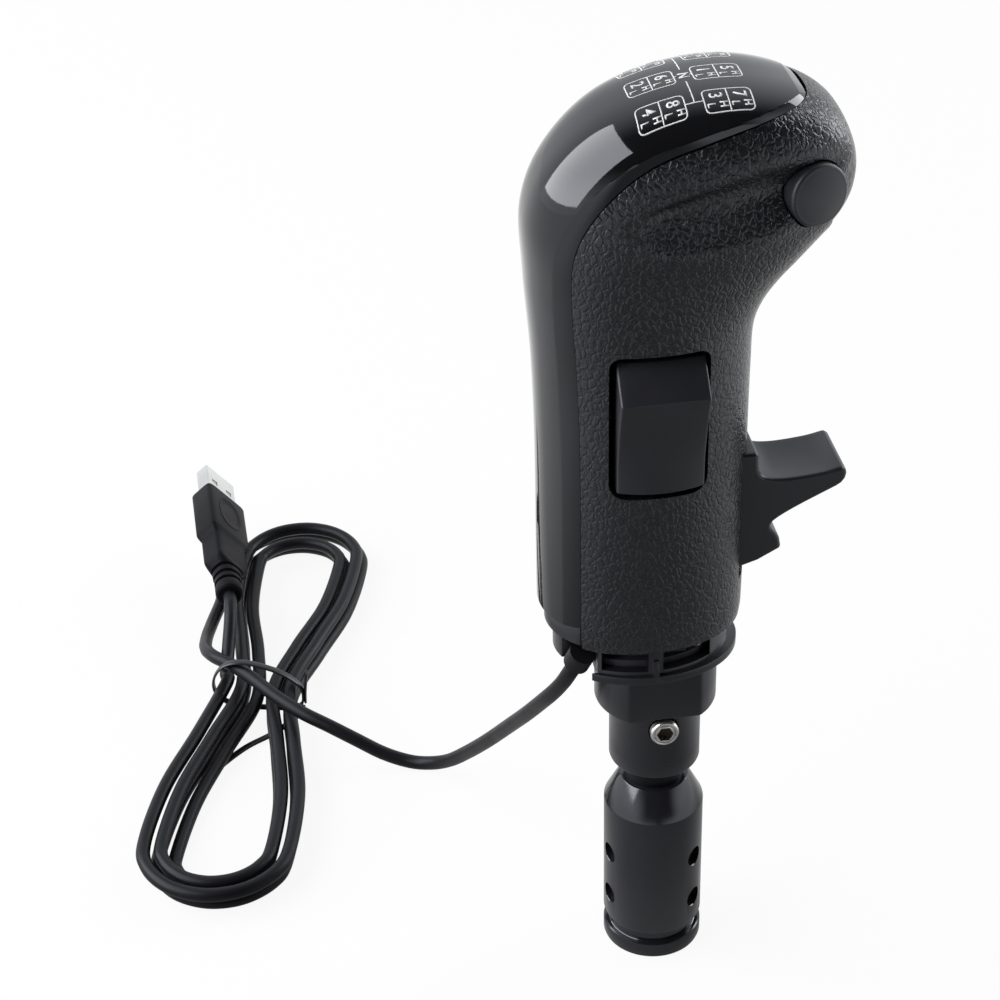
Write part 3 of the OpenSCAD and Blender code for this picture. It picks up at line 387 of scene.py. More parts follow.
def finish(slot, dark, light, rough, scale=1800.0, relief=0.02, grain=(900.0, 900.0, 60.0), hide_scale=None,
           specular=0.5, metal=0.0, hairline=0.0):
    """A material: two tones, a roughness range and a relief in millimetres, from the shared effects."""
    material = bpy.data.materials.new(slot)
    material.use_nodes = True
    tree = material.node_tree
    shader = tree.nodes["Principled BSDF"]
    place = put(tree, "ShaderNodeTexCoord").outputs["Object"]
    base = put(tree, "ShaderNodeGroup", {"node_tree": tooth}, Place=place, Scale=scale)
    used = put(tree, "ShaderNodeGroup", {"node_tree": touch}, Place=place, Grain=grain)
    tone_and_crease_shade, height = base.outputs["Tone"], base.outputs["Height"]
    if hide_scale:
        cell = put(tree, "ShaderNodeGroup", {"node_tree": hide}, Place=place, Scale=hide_scale)
        # on grained plastic the darker tone lies in the grooves between the cells, as painted shade
        tone_and_crease_shade, height = cell.outputs["Crease_shade"], cell.outputs["Height"]
    tone = put(tree, "ShaderNodeMix", {"data_type": "RGBA"}, _0=tone_and_crease_shade, _6=(*light, 1), _7=(*dark, 1))
    tree.links.new(tone.outputs[2], shader.inputs["Base Color"])
    scratched = sums(tree, "MULTIPLY", used.outputs["Hairline"], hairline)
    worn = sums(tree, "ADD", used.outputs["Smudge"], scratched)
    tree.links.new(spread(tree, worn, 0.0, 1.0 + hairline, *rough), shader.inputs["Roughness"])
    bump = put(tree, "ShaderNodeBump", None, Strength=1.0, Distance=relief * MM, Height=height)
    if hairline:
        lines = put(tree, "ShaderNodeBump", None, Strength=0.6, Distance=0.004 * MM,
                    Height=used.outputs["Hairline"])
        tree.links.new(lines.outputs[0], bump.inputs["Normal"])
    tree.links.new(bump.outputs[0], shader.inputs["Normal"])
    shader.inputs["Specular IOR Level"].default_value = specular
    shader.inputs["Metallic"].default_value = metal
    shader.inputs["Specular Tint"].default_value = MIRROR_TINT
    FINISH[slot] = material
    return material


def grey(value, blue=1.25):
    """A tone with equal red and green, and its blue times that factor."""
    return (value, value, value * blue)


# slot, dark and light tone, range of roughness, scale of the tooth, relief in mm, stretch of the hairlines
finish("adapter_black", grey(0.008), grey(0.012), (0.1, 0.17), 2400, 0.001, (60.0, 60.0, 5200.0),
       hairline=0.15, specular=0.6)
finish("black_steel", grey(0.003), grey(0.006), (0.4, 0.55), 2000, 0.01, (60.0, 60.0, 4000.0),
       hairline=0.3, specular=0.2)
finish("bright_steel", grey(0.56, 0.95), grey(0.68, 0.95), (0.18, 0.34), 1500, 0.006, (700.0, 700.0, 90.0),
       metal=1.0, hairline=0.5)
finish("hub_plastic", grey(0.008), grey(0.012), (0.26, 0.38), 2200, 0.008)
# the grained plastic's dark tone is painted shade in the grooves between its cells
finish("grain_plastic", grey(0.003), grey(0.008), (0.27, 0.37), hide_scale=600.0, relief=0.1)
finish("gloss_black", grey(0.003), grey(0.0045), (0.04, 0.08), 900, 0.0008, (500.0, 60.0, 500.0),
       hairline=0.25)
finish("control_plastic", grey(0.009), grey(0.013), (0.4, 0.5), 3000, 0.01)
finish("frame_plastic", grey(0.03), grey(0.045), (0.45, 0.6), 1800, 0.02)
finish("nylon", (0.6, 0.57, 0.5), (0.72, 0.69, 0.62), (0.4, 0.55), 1500, 0.02)
finish("contact_brass", (0.62, 0.42, 0.14), (0.78, 0.57, 0.24), (0.2, 0.35), 1500, 0.006,
       metal=1.0, hairline=0.4)
finish("board_green", (0.01, 0.075, 0.03), (0.018, 0.11, 0.045), (0.25, 0.4), 1200, 0.02)
finish("cord_jacket", grey(0.005), grey(0.008), (0.36, 0.48), 1600, 0.015, specular=0.16)
finish("tie_black", grey(0.006), grey(0.01), (0.3, 0.45), 2000, 0.015)
finish("socket_brown", (0.035, 0.026, 0.018), (0.07, 0.052, 0.036), (0.5, 0.7), 1500, 0.02, specular=0.2)
finish("plug_black", grey(0.004), grey(0.007), (0.42, 0.54), 1600, 0.012, specular=0.06)
finish("print_white", grey(0.5, 1.0), grey(0.6, 1.0), (0.4, 0.5), 4000, 0.004)
print("finishes:", sorted(FINISH))

for part in frame["record"]["subparts"]:
    solid = frame["nodes"][part["node"]]
    solid.data.materials.clear()
    solid.data.materials.append(FINISH[part["material_slot"]])

own_slots = {part["material_slot"]: part["material_slot"] for part in frame["record"]["subparts"]}
own_slots["plug_black"] = "cord_jacket"


def dress(piece, slot, body, *nodes):
    """Gives a piece its finish and its body, and hides the solids it stands for."""
    piece.data.materials.clear()
    piece.data.materials.append(FINISH[slot])
    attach(piece, body)
    if nodes:
        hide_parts(*nodes)
    size = len(piece.data.polygons) if piece.type == "MESH" else len(piece.data.splines[0].points)
    print(piece.name, "made,", size, "faces or points, on", body)
    return piece


# %% [markdown]
# ## The USB lead
# A thin black lead leaves the notch in the collar, comes down to the table and ends in a hank of four and a
# quarter turns that a wire tie holds at its waist. The free stretch is a curve through listed points. The
# hank is a formula, because every turn is alike: a long loop with round ends and a drawn-in waist, one step
# inside the last, until an upper layer steps out again. One curve object carries both, so the lead is one
# unbroken length from the collar to the plug.

# %% Route of the lead
cord_d = 3.75
hank_mid, hank_turn = np.array([-89.6, 107.0, 0.0]), np.radians(-14.0)


def on_table(p):
    """Points of the hank's own frame, turned and moved to its place on the table."""
    p = np.asarray(p, float)
    c, s = np.cos(hank_turn), np.sin(hank_turn)
    return hank_mid + np.stack([p[..., 0] * c - p[..., 1] * s, p[..., 0] * s + p[..., 1] * c, p[..., 2]], -1)


def hank_point(t):
    """Across, along and up after t turns: half circles at both ends, and between them runs that a bell curve
    draws in at the waist. Each turn lies one step inside the last. Half way through, the lead climbs, and
    each turn of the upper layer lies one step outside the last."""
    step, waist, run, end_r, q = 4.6, 11.5, 30.0, 21.5, 1 / 8
    near_end, far_end, far_step, climb, bulge = 88, 90, 8, 4.3, 1.2
    k = np.where(t < 2.25, t, 4.5 - t)
    f = t - np.floor(t)
    side, g = np.where(f < 0.5, -1, 1), np.where(f < 0.5, f, 1 - f)
    r = end_r - step * k
    near, far = r - near_end + step * k, far_end - far_step * k - r
    low, high = np.pi / 2 * g / q, np.pi / 2 * (0.5 - g) / q
    v = np.where(g < q, near - r * np.cos(low), np.where(g > 0.5 - q, far + r * np.cos(high),
                 near + (far - near) * (g - q) / (0.5 - 2 * q)))
    pull = np.exp(-(v / run)**2)
    drawn_in = r - (r - waist + step * k) * pull
    w = np.where(g < q, r * np.sin(low), np.where(g > 0.5 - q, r * np.sin(high), drawn_in))
    lift = smooth_step((t - 2.12) / 0.3)
    return np.stack([side * w, v, cord_d / 2 + climb * lift + bulge * pull], -1)


exit_at = np.array([-20.3, -8.8, 91.3])
exit_way = unit(np.array([-0.26, 0.4, -0.88]))
free_points = [exit_at - 3.4 * exit_way, exit_at, exit_at + 4.4 * exit_way, (-22.7, -3.9, 82.2),
               (-24.2, 0.6, 76.2), (-25.8, 7, 68.9), (-28, 17.5, 57.5), (-31, 30.4, 43.8), (-34.4, 43.2, 30),
               (-38.3, 54.8, 17.6), (-42.3, 63.8, 8.2), (-46.8, 69.2, 3.6), (-52.2, 72.4, 2.4),
               (-59, 75.2, 4), (-66, 78.4, 7.2), (-73, 82, 10.2), (-79.8, 86.8, 12)]
waist_points = [(6.3, -11.1, 12.4), (-1.5, -3.9, 12.8), (-8.4, 1.7, 13), (-14.6, 6.6, 12.2),
                (-18.4, 13.5, 9.6), (-20.4, 23, 6.2), (-21.2, 34, 3.4), (-21, 48, 2.1)]
plug_turn = np.radians(14.5)
plug_way = np.array([-np.sin(plug_turn), np.cos(plug_turn), 0.0])
neck = np.array([-14, 29.8, 17.0])
loops = hank_point(0.375 + 3.875 * np.arange(94) / 93)
lead_in = unit(loops[1] - loops[0])
start = loops[0] - cord_d * lead_in
rise = [(-11.1, 4.5, 7.7), (-11.5, 9.5, 9.3), (-11.8, 14, 11.6), (-12, 18, 13.9), (-12.3, 21.5, 15.7),
        (-12.8, 24.5, 16.7), neck - cord_d * plug_way, neck]
route = np.vstack([free_points, on_table(waist_points), on_table([start - 1.5 * cord_d * lead_in, start]),
                   on_table(loops), on_table(rise)])
lead_line = curve_through(route, np.linspace(0, len(route) - 1, 1400)) * MM

# %% The lead itself
lead_curve = bpy.data.curves.new("usb_lead", "CURVE")
lead_curve.dimensions, lead_curve.bevel_depth, lead_curve.bevel_resolution = "3D", cord_d / 2 * MM, 4
lead_curve.use_fill_caps = True
strand = lead_curve.splines.new("POLY")
strand.points.add(len(lead_line) - 1)
strand.points.foreach_set("co", np.hstack([lead_line, np.ones((len(lead_line), 1))]).ravel())
strand.use_smooth = True
lead = placed("usb_lead", lead_curve)
dress(lead, "cord_jacket", "knob", "usb_cord", "usb_hank")

# %% [markdown]
# ## The plug
# The plug's grip is moulded in one with its strain relief: a round collar, a slotted neck, a slimmer middle
# and a square block. A loft suits it, because every cross section is a squared-off oval whose width, height
# and squareness change along the plug. The metal shell, the tongue and the contacts are right in the
# solids.

# %% Plug grip
def in_plug_frame(p):
    """Points along the plug's own axis, rolled by 50 degrees, laid level and set on the neck of the hank."""
    roll, t = np.radians(50.0), plug_turn
    x = p[..., 0] * np.cos(roll) - p[..., 1] * np.sin(roll)
    y = p[..., 0] * np.sin(roll) + p[..., 1] * np.cos(roll)
    x, y, z = x, p[..., 2], -y
    return on_table(neck + np.stack([x * np.cos(t) - y * np.sin(t), x * np.sin(t) + y * np.cos(t), z], -1))


def squared_ring(half_w, half_h, power, z, sides=72):
    """Squared oval: cosine and sine of the angle raised to 2/power, so power 2 is an ellipse and 7 is
    nearly a rectangle."""
    a = full_turn(sides) + np.pi / sides
    half_w, half_h, power, z = (np.asarray(v, float)[:, None] for v in (half_w, half_h, power, z))
    c, s = signed_power(np.cos(a), 2 / power), signed_power(np.sin(a), 2 / power)
    return np.stack([half_w * c, half_h * s, z + 0 * c], -1)


# z along the plug, half width, half height, squareness
plug_rows = np.array([
    (0, 2.2, 2.2, 2), (0.05, 3.3, 3.3, 2), (0.5, 3.85, 3.85, 2), (1, 4, 4, 2), (3.6, 4, 4, 2),
    (3.9, 3.9, 3.9, 2), (4.0, 3.2, 3.2, 2), (5.1, 3.2, 3.2, 2), (5.2, 4, 3.9, 2.1), (6.9, 4, 3.9, 2.1),
    (7.0, 3.3, 3.2, 2.1), (8.1, 3.4, 3.2, 2.1), (8.2, 4.2, 3.9, 2.3), (10, 4.3, 3.9, 2.4),
    (10.1, 3.5, 3.3, 2.3), (11.2, 3.6, 3.3, 2.3), (11.3, 4.6, 3.9, 2.6), (12.0, 5.0, 3.9, 3.2),
    (13.2, 6.1, 3.6, 6), (14.2, 6.35, 3.6, 7), (15, 6.4, 3.6, 7), (25.0, 6.4, 3.6, 7), (25.6, 6.5, 3.65, 7),
    (27.2, 7.6, 4.0, 8), (27.8, 7.85, 4.1, 8), (28.3, 7.9, 4.1, 8), (49.0, 7.9, 4.1, 8), (49.5, 7.8, 4.0, 8),
    (49.8, 7.5, 3.75, 8)])
plug_rings = squared_ring(plug_rows[:, 1], plug_rows[:, 2], plug_rows[:, 3], plug_rows[:, 0])
plug_body = closed_loft("plug_grip", in_plug_frame(plug_rings), 30)
dress(plug_body, "plug_black", "knob", "plug_mould")

# %% Thumb pads on the plug
def pad_rows(side):
    """Shallow oval pad: ovals that shrink towards the middle while their height dips below the face like a
    dish."""
    share = np.array([1.0, 0.93, 0.86, 0.5, 0.12])[:, None]
    lift = np.array([-0.3, 0.14, 0.05, -0.02, -0.04])[:, None]
    a = full_turn(64)
    c, s = signed_power(np.cos(a), 0.8), signed_power(np.sin(a), 0.8)
    return in_plug_frame(np.stack([4.6 * share * c, side * (4.1 + lift) + 0 * c, 39 + 7.6 * share * s], -1))


for side, label in ((1, "upper"), (-1, "lower")):
    dress(closed_loft("plug_pad_" + label, pad_rows(side), 40), "plug_black", "knob")

# %% [markdown]
# ## The wire tie
# A flat black strip with a wire in it goes once round the waist, and its two tails leave it at the side.
# The loop lies in one upright plane, so its frame is simple: along the loop, across the strip and outwards.
# A thin lens-shaped section is carried along it, and the same section along the tails.

# %% Tie
strip_sides = 20
a = full_turn(strip_sides)[None, :, None]
flat_way, thick_way = signed_power(np.cos(a), 0.6), np.sin(a)


def strip(line, across, width=2.3, thick=0.75):
    """Rings of a strip: a flat oval of that width and thickness, square to the line, with its width along
    across."""
    ahead = unit(np.gradient(line, axis=0))
    across = unit(across - np.sum(across * ahead, -1, keepdims=True) * ahead)
    out = np.cross(across, ahead)
    edge = across[:, None] * width / 2 * flat_way
    return line[:, None] + edge + out[:, None] * thick / 2 * signed_power(thick_way, 0.8)


tie_loop = np.array([(-4, 0.4), (7, 0.4), (10.7, 1.8), (11.6, 5), (10.7, 8.8), (5.8, 12.7), (-1, 15.2),
                     (-6, 15.9), (-10.1, 14.7), (-12.9, 11.3), (-13.8, 7.4), (-12.5, 3.6), (-8.6, 1.1)])
wrapped = np.vstack([tie_loop[-1:], tie_loop, tie_loop[:2]])
around = curve_through(wrapped, np.linspace(1, len(tie_loop) + 1, 120, endpoint=False))
around = np.stack([around[:, 0], 0 * around[:, 0] - 0.5, np.maximum(around[:, 1], 0.4)], 1)
along_hank = np.array([0, 1.0, 0])
out = np.cross(along_hank, unit(np.roll(around, -1, 0) - np.roll(around, 1, 0)))
loop_rows = around[:, None] + along_hank * 1.15 * flat_way + out[:, None] * 0.37 * thick_way
loop_rows = np.concatenate([loop_rows, loop_rows[:1]])
tie = make("wire_tie", on_table(loop_rows), grid_faces(len(loop_rows), strip_sides, True).tolist(), 50)
dress(tie, "tie_black", "knob", "cord_tie")

tail_up = curve_through([(12.1, -0.6, 3.2), (12.3, -0.8, 6.5), (12.7, -1.1, 10), (13.3, -1.6, 14.2)],
                        np.linspace(0, 3, 24))
tail_low = curve_through([(11.3, -1.6, 2.4), (9.8, -6, 1.3), (5, -12.5, 0.8), (-1.5, -19, 0.75),
                          (-6.5, -26.5, 0.75), (-9.5, -33, 0.8)], np.linspace(0, 5, 40))
for label, line, across in (("upright", tail_up, (0.25, -1.0, 0.0)), ("lying", tail_low, (0.8, -0.5, 0.15))):
    tail = closed_loft("tie_tail_" + label, on_table(strip(line, np.array(across))), 50)
    dress(tail, "tie_black", "knob")

# %% [markdown]
# ## The skin of the grip
# The grip is a bent egg: its spine leaves the collar straight up, bends forward and ends at the nose. Each
# station along the spine has a back point, a front point, a half width and a squareness for the back and
# the front. A smooth curve through the stations gives the section at any place, and a squared oval gives
# the point at any angle. The grained body and the glossy cover are two patches of this one skin, so their
# seam always fits.

# %% Stations and skin
rear, fore, nose, arc = -27.0, 19.4, 39.9, 47.0
shaft_half, shaft_top, head_half, head_top = 18.5, 65.0, 21.2, 131.0
GRIP_Z = 98.0
# back x, back z, front x, front z, half width, squareness back, squareness front, half angle of the cover
stations = np.array([
    (rear + 0.8, 0, fore - 1, 0, shaft_half - 1, 2.15, 2.15, arc),
    (rear + 0.1, 3, fore - 0.2, 3, shaft_half - 0.1, 2.15, 2.15, arc),
    (rear, 22, fore, 22, shaft_half, 2.15, 2.15, arc),
    (rear, 47, fore, 47, shaft_half, 2.15, 2.15, arc),
    (rear - 0.6, shaft_top + 4, fore + 0.1, shaft_top, shaft_half + 0.1, 2.15, 2.2, arc),
    (rear - 2, shaft_top + 24, fore + 0.4, shaft_top + 10.5, head_half - 2, 2.28, 2.22, arc + 1),
    (rear - 2.2, shaft_top + 39, fore + 2.2, shaft_top + 16.5, head_half - 1, 2.4, 2.27, arc + 3),
    (rear + 2.7, head_top - 15.5, fore + 5.4, shaft_top + 21.5, head_half - 0.2, 2.6, 2.3, arc + 6),
    (rear + 13, head_top - 5.7, nose - 11, shaft_top + 26.2, head_half, 2.8, 2.33, arc + 9),
    (nose - 39.9, head_top - 0.6, nose - 7.4, shaft_top + 30.7, head_half - 0.4, 2.9, 2.37, arc + 12),
    (nose - 24.9, head_top + 0.2, nose - 4, shaft_top + 34.8, head_half - 1.9, 3, 2.4, arc + 13),
    (nose - 12.4, head_top - 2.6, nose - 1.8, shaft_top + 38.6, head_half - 5.2, 2.75, 2.3, arc + 11),
    (nose - 5, head_top - 6.9, nose - 0.7, shaft_top + 42, head_half - 9.6, 2.5, 2.2, arc + 9),
    (nose - 1.5, head_top - 12.9, nose - 0.2, shaft_top + 45.6, head_half - 14.8, 2.2, 2.1, arc + 9),
    (nose - 0.2, head_top - 17.5, nose, shaft_top + 48, 0.8, 2, 2, arc + 9)])
cover_tip = 11.15


def skin(u, phi, depth):
    """Point at place u along the spine and angle phi, 0 at the back: the middle of the section, plus its
    arm times a powered cosine, and the half width times a powered sine."""
    s = curve_through(stations, u)
    phi = np.radians(phi)
    c, w = np.cos(phi), np.sin(phi)
    mid, arm = (s[..., 0:2] + s[..., 2:4]) / 2, (s[..., 0:2] - s[..., 2:4]) / 2
    e = 2 / np.where(c > 0, s[..., 5], s[..., 6])
    deep = np.where(depth > 0, depth - 0.9 * np.maximum(0, 1 - u), depth)
    c = signed_power(c, e) * np.maximum(1 - deep / np.linalg.norm(arm, axis=-1), 0.3)
    w = signed_power(w, e) * np.maximum(s[..., 4] - deep, 0.3 * s[..., 4])
    return np.stack([mid[..., 0] + arm[..., 0] * c, w, mid[..., 1] + arm[..., 1] * c + GRIP_Z], -1)


def seam_angle(u):
    """Half angle of the cover: constant down the shaft, and closing to nothing in a rounded tip over the
    nose."""
    k = np.clip((cover_tip - u) / 2.6, 0, 1)
    return curve_through(stations, u)[..., 7] * np.sqrt(1 - (1 - k)**2.2)


print("skin:", len(stations), "stations, top at", skin(np.array(9.5), np.array(0.0), np.array(0.0)).round(1))

# %% [markdown]
# ## The grained body
# The body is a moulded shell with a window for the rocker, a slot for the trigger and a hole for the
# button. A groove for the thumb runs along the side of the head to the button: it has a soft upper line, a
# floor and a lip where the head turns under to the shaft. It is a depth added to the skin, worked out from
# three curves. The openings are cut by plain solids, because their edges follow no line of the grid.

# %% Body
def thumb_groove(p):
    """Inward depth of the groove on the thumb's side: none above its upper line, falling to its floor, then
    rising to a lip that stands out a little. The lines are curves of height over length, and both ends fade
    out."""
    x, z = p[..., 0], p[..., 2]
    upper = 212.6 + 0.4 * x - 0.006 * x**2
    floor = 209.3 + 0.2 * x - 0.0045 * x**2
    lip = 198.7 + 0.013 * (x - 2)**2
    fall, rise = (upper - z) / (upper - floor), (z - lip) / (floor - lip)
    groove = np.where(z > floor, smooth_step(fall), smooth_step(rise))
    bead = np.exp(-((z - lip + 0.4) / 2.6)**2)
    length = smooth_step((x + 13) / 12) * smooth_step((44 - x) / 12)
    side = smooth_step((-p[..., 1] - 6) / 8)
    deep = 2.1 + 0.8 * np.exp(-((x - 19) / 9)**2)
    return (deep * groove - 0.75 * bead) * length * side


def body_surface(u, cols, depth):
    """The skin between the two rims of the cover, at a depth, with the groove pressed into it."""
    edge = np.where(u < cover_tip, seam_angle(u), 0.0)[:, None]
    phi = edge + (360 - 2 * edge) * np.linspace(0, 1, cols)[None, :]
    p = skin(u[:, None] + 0 * phi, phi, np.full_like(phi, depth))
    p[..., 1] += thumb_groove(p)
    return p


open_u = np.concatenate([[0, 0.12, 0.3, 0.6], np.linspace(1, 4, 34), np.linspace(4, 10.4, 86)[1:],
                         cover_tip - 0.75 * np.linspace(1, 0, 18)**2])
nose_u = cover_tip + (14 - cover_tip) * (1 - (1 - np.linspace(0, 1, 34))**1.7)[1:]
body_u = np.concatenate([open_u, nose_u])
cols = 161
outer = body_surface(body_u, cols, 0.0)
wall = 2.4
drawn_back = np.where(body_u > cover_tip, cover_tip + (body_u - cover_tip) * 0.62, body_u)
inner = body_surface(drawn_back, cols, wall)
n_open = len(open_u)
index = np.arange(len(body_u) * cols).reshape(-1, cols)
walls = (index[:n_open, 0], index[:n_open, -1][::-1], index[0][::-1])
body = shell("grip_shell", outer, inner, walls, [index[-1, :-1]], 40)
print("shell:", len(body.data.polygons), "faces")

# %% Openings of the body
def window_rows(w, h, r, y_from, y_to, middle):
    """Prism with a rounded rectangle for its outline, from y_from to y_to."""
    outline = rounded(np.array([(-w / 2, -h / 2), (w / 2, -h / 2), (w / 2, h / 2), (-w / 2, h / 2)]), r, 11)
    rows = np.array([y_from, y_to])[:, None]
    return np.stack(np.broadcast_arrays(middle[0] + outline[:, 0], rows, middle[1] + outline[:, 1]), -1)


window_w, window_h, window_corners = 21.8, 35.3, (4.4, 4.4, 3.2, 3.2)
button_hole_r = 7.2
button_at = np.array([nose - 11.9, 4.2 - head_half, shaft_top + 45.8 + GRIP_Z])
az, el = np.radians(-70.0), np.radians(3.0)
button_way = np.array([np.cos(el) * np.cos(az), np.cos(el) * np.sin(az), np.sin(el)])
button_side = np.array([-np.sin(az), np.cos(az), 0.0])
button_up = np.cross(button_way, button_side)


def on_button(rings):
    """Rings about the button's own axis, set where the button comes through the skin."""
    return button_at + rings @ np.stack([button_side, button_up, button_way])


rocker_pivot = np.array([-3.6, -10.5, 157.6])
trigger_pivot = np.array([5.0, 0.0, 127.5])
window_mould = window_rows(window_w, window_h, window_corners, -24, -8.5, rocker_pivot[[0, 2]])
rocker_window = closed_loft("cut_rocker", window_mould)
button_hole = closed_loft("cut_button", on_button(rod(button_hole_r, -12, 12, 96)))
slot_x, slot_y = np.array([10.4, 30.4, 30.4, 10.4]), np.array([[-9.0], [9.0]])
slot_z = trigger_pivot[2] + np.array([-17.8, -17.8, 15.4, 15.4])
trigger_slot = closed_loft("cut_trigger", np.stack(np.broadcast_arrays(slot_x, slot_y, slot_z), -1))
cut(body, [rocker_window, button_hole, trigger_slot], 40)
dress(body, "grain_plastic", "knob", "grip_body")

# %% [markdown]
# ## The glossy cover
# A polished cover runs up the back, over the shoulder and ends in a rounded tip on the nose. It stands a
# little proud, with a bevel along its whole rim that catches the light as a narrow band. The bevel is
# worked out from the distance to the rim, so that it goes round the tip as well as along the sides.

# %% Cover
cover_end, cover_foot = 11.09, 6.0
proud, slope_drop = 0.55, 0.95


def cover_depth(u, share, edge):
    """Depth under the skin: half a millimetre proud in the middle, then a straight slope to just under the
    skin at the rim."""
    s = curve_through(stations, u)
    to_side = (1 - np.abs(share)) * np.radians(edge) * (s[..., 4] + 2)
    spine = skin(u, 0 * u, 0 * u)
    tip = skin(np.array(cover_end), np.array(0.0), np.array(0.0))
    to_tip = np.linalg.norm(spine - tip, axis=-1)
    reach = np.minimum(to_side, to_tip)
    width = 4.2 - 2.0 * smooth_step((u - 5) / 4)
    return -proud + slope_drop * np.clip(1 - reach / width, 0, 1)


def low_place(z):
    """Place on the spine where the back of the skin is z above the grip's foot."""
    u = np.linspace(1, 2, 4001)
    return float(np.interp(z, curve_through(stations, u)[:, 1], u))


cover_u = np.concatenate([low_place(cover_foot) + np.array([0.0, 0.01, 0.03]), np.linspace(1.3, 4, 30),
                          np.linspace(4, 10, 90)[1:], cover_end - 1.09 * np.linspace(1, 0, 40)[1:]**2])
half = np.concatenate([np.linspace(0, 0.7, 15), np.linspace(0.7, 0.82, 10)[1:], np.linspace(0.82, 1, 13)[1:]])
share = np.concatenate([-half[::-1], half[1:]])
edge = seam_angle(cover_u) - np.degrees(0.35 / np.hypot(curve_through(stations, cover_u)[:, 4], 8))
edge[-1] = 0.02
u_grid, share_grid = np.meshgrid(cover_u, share, indexing="ij")
top = skin(u_grid, share_grid * edge[:, None], cover_depth(u_grid, share_grid, edge[:, None]))
under = skin(u_grid, share_grid * edge[:, None], np.full_like(u_grid, wall))
index = np.arange(u_grid.size).reshape(u_grid.shape)
walls = (index[:, 0], index[:, -1][::-1], index[0][::-1], index[-1])
cover = shell("gloss_cover", top, under, walls, sharp=12)
dress(cover, "gloss_black", "knob", "spine_cover")

# %% [markdown]
# ## The gear pattern
# The pattern on top is pad printed: thin pale boxes with two numbers each, a small H and L beside each
# number, and gate lines through N. It is drawn flat, with up towards the nose, then dropped straight down
# onto the cover and given the thickness of a coat of ink. Text outlines become meshes first, so the drop
# can bend them.

# %% Print
print_z = 240.0


def flat_stroke(points, width=0.27, closed=False):
    """A band of that width along flat points: each point moves half the width to both sides of the path."""
    p = np.asarray(points, float)
    ahead = unit(np.roll(p, -1, 0) - np.roll(p, 1, 0)) if closed else unit(np.gradient(p, axis=0))
    side = np.stack([-ahead[:, 1], ahead[:, 0]], 1) * width / 2
    flat = np.stack([p - side, p + side], 1)
    if closed:
        flat = np.concatenate([flat, flat[:1]])
    return np.concatenate([flat, np.full((*flat.shape[:2], 1), print_z)], -1)


box_rows = (-7.8, 1.9), (5.7, 15.6)
box_cols = {"near": (-14.7, -8.3), "middle": (-3.5, 3.0), "far": (7.3, 13.7)}
strokes = []
for low, high in box_rows:
    for left, right in box_cols.values():
        corners = np.array([(low, left), (high, left), (high, right), (low, right)])
        strokes.append(flat_stroke(resampled(rounded(corners, 1.2, 7), 72), closed=True))
        strokes.append(flat_stroke(np.linspace(((low + high) / 2, left), ((low + high) / 2, right), 14)))
gates = [((1.9, -11.4), (5.7, -11.4), 14), ((1.9, 10.5), (5.7, 10.5), 14), ((3.8, -3.4), (3.8, -11.4), 14),
         ((3.8, 2.6), (3.8, 10.5), 14), ((1.9, -0.4), (2.4, -0.4), 4), ((5.2, -0.4), (5.7, -0.4), 4)]
strokes += [flat_stroke(np.linspace(*gate)) for gate in gates]
starts = np.cumsum([0] + [s.shape[0] * 2 for s in strokes])
faces = np.vstack([grid_faces(s.shape[0], 2, False, k) for s, k in zip(strokes, starts)])
lines = make("gear_lines", np.concatenate([s.reshape(-1, 3) for s in strokes]), faces.tolist(), outward=False)


def glyph(letter, x, y, height):
    """A letter as a flat mesh, its up towards +X and its right towards -Y, centred on x and y."""
    text = bpy.data.curves.new("glyph", "FONT")
    text.body, text.size, text.offset = letter, height * MM * 1.42, 0.05 * MM
    text.align_x, text.align_y, text.resolution_u = "CENTER", "CENTER", 3
    carrier = placed("glyph", text)
    mesh = bpy.data.meshes.new_from_object(carrier.evaluated_get(bpy.context.evaluated_depsgraph_get()))
    bpy.data.objects.remove(carrier)
    mesh.transform(Matrix(((0, 1, 0, x * MM), (-1, 0, 0, y * MM), (0, 0, 1, print_z * MM), (0, 0, 0, 1))))
    return placed("glyph", mesh)


letters = [glyph("N", 3.8, -0.4, 2.3)]
half_boxes = (-7.8, -2.95, 5.7, 10.65)
for column, marks in (("near", "4837"), ("middle", "2615"), ("far", "LLRR")):
    for label, low in zip(marks, half_boxes):
        x, y = low + 2.45, box_cols[column][1]
        letters.append(glyph(label, x, y - 2.0, 2.7))
        letters.append(glyph("H", x + 1.25, y - 4.6, 1.6))
        letters.append(glyph("L", x - 1.25, y - 4.6, 1.6))
join = bmesh.new()
for piece in [lines] + letters:
    join.from_mesh(piece.data)
for piece in letters:
    bpy.data.objects.remove(piece)
bmesh.ops.triangulate(join, faces=join.faces)
join.to_mesh(lines.data)
join.free()
drop = lines.modifiers.new("drop", "SHRINKWRAP")
drop.wrap_method, drop.target, drop.offset = "PROJECT", cover, 0.02 * MM
drop.use_project_z, drop.use_negative_direction, drop.use_positive_direction = True, True, False
ink = lines.modifiers.new("ink", "SOLIDIFY")
ink.thickness, ink.offset = 0.03 * MM, 0
applied(lines)
dress(lines, "print_white", "knob")
spots = np.empty(len(lines.data.vertices) * 3, np.float32)
lines.data.vertices.foreach_get("co", spots)
print("print lies", (spots[2::3].min() / MM).round(1), "to", (spots[2::3].max() / MM).round(1), "mm up")

# %% [markdown]
# ## The rocker
# The rocker is a bar with one outline: a short upper face, a straight ridge and a long lower face. Its long
# edges are softly rounded, and its ends bow outwards in the middle to follow the grip. The outline is
# carried across with rounded ends, and the bow is a parabola across the width that fades at the ridge.

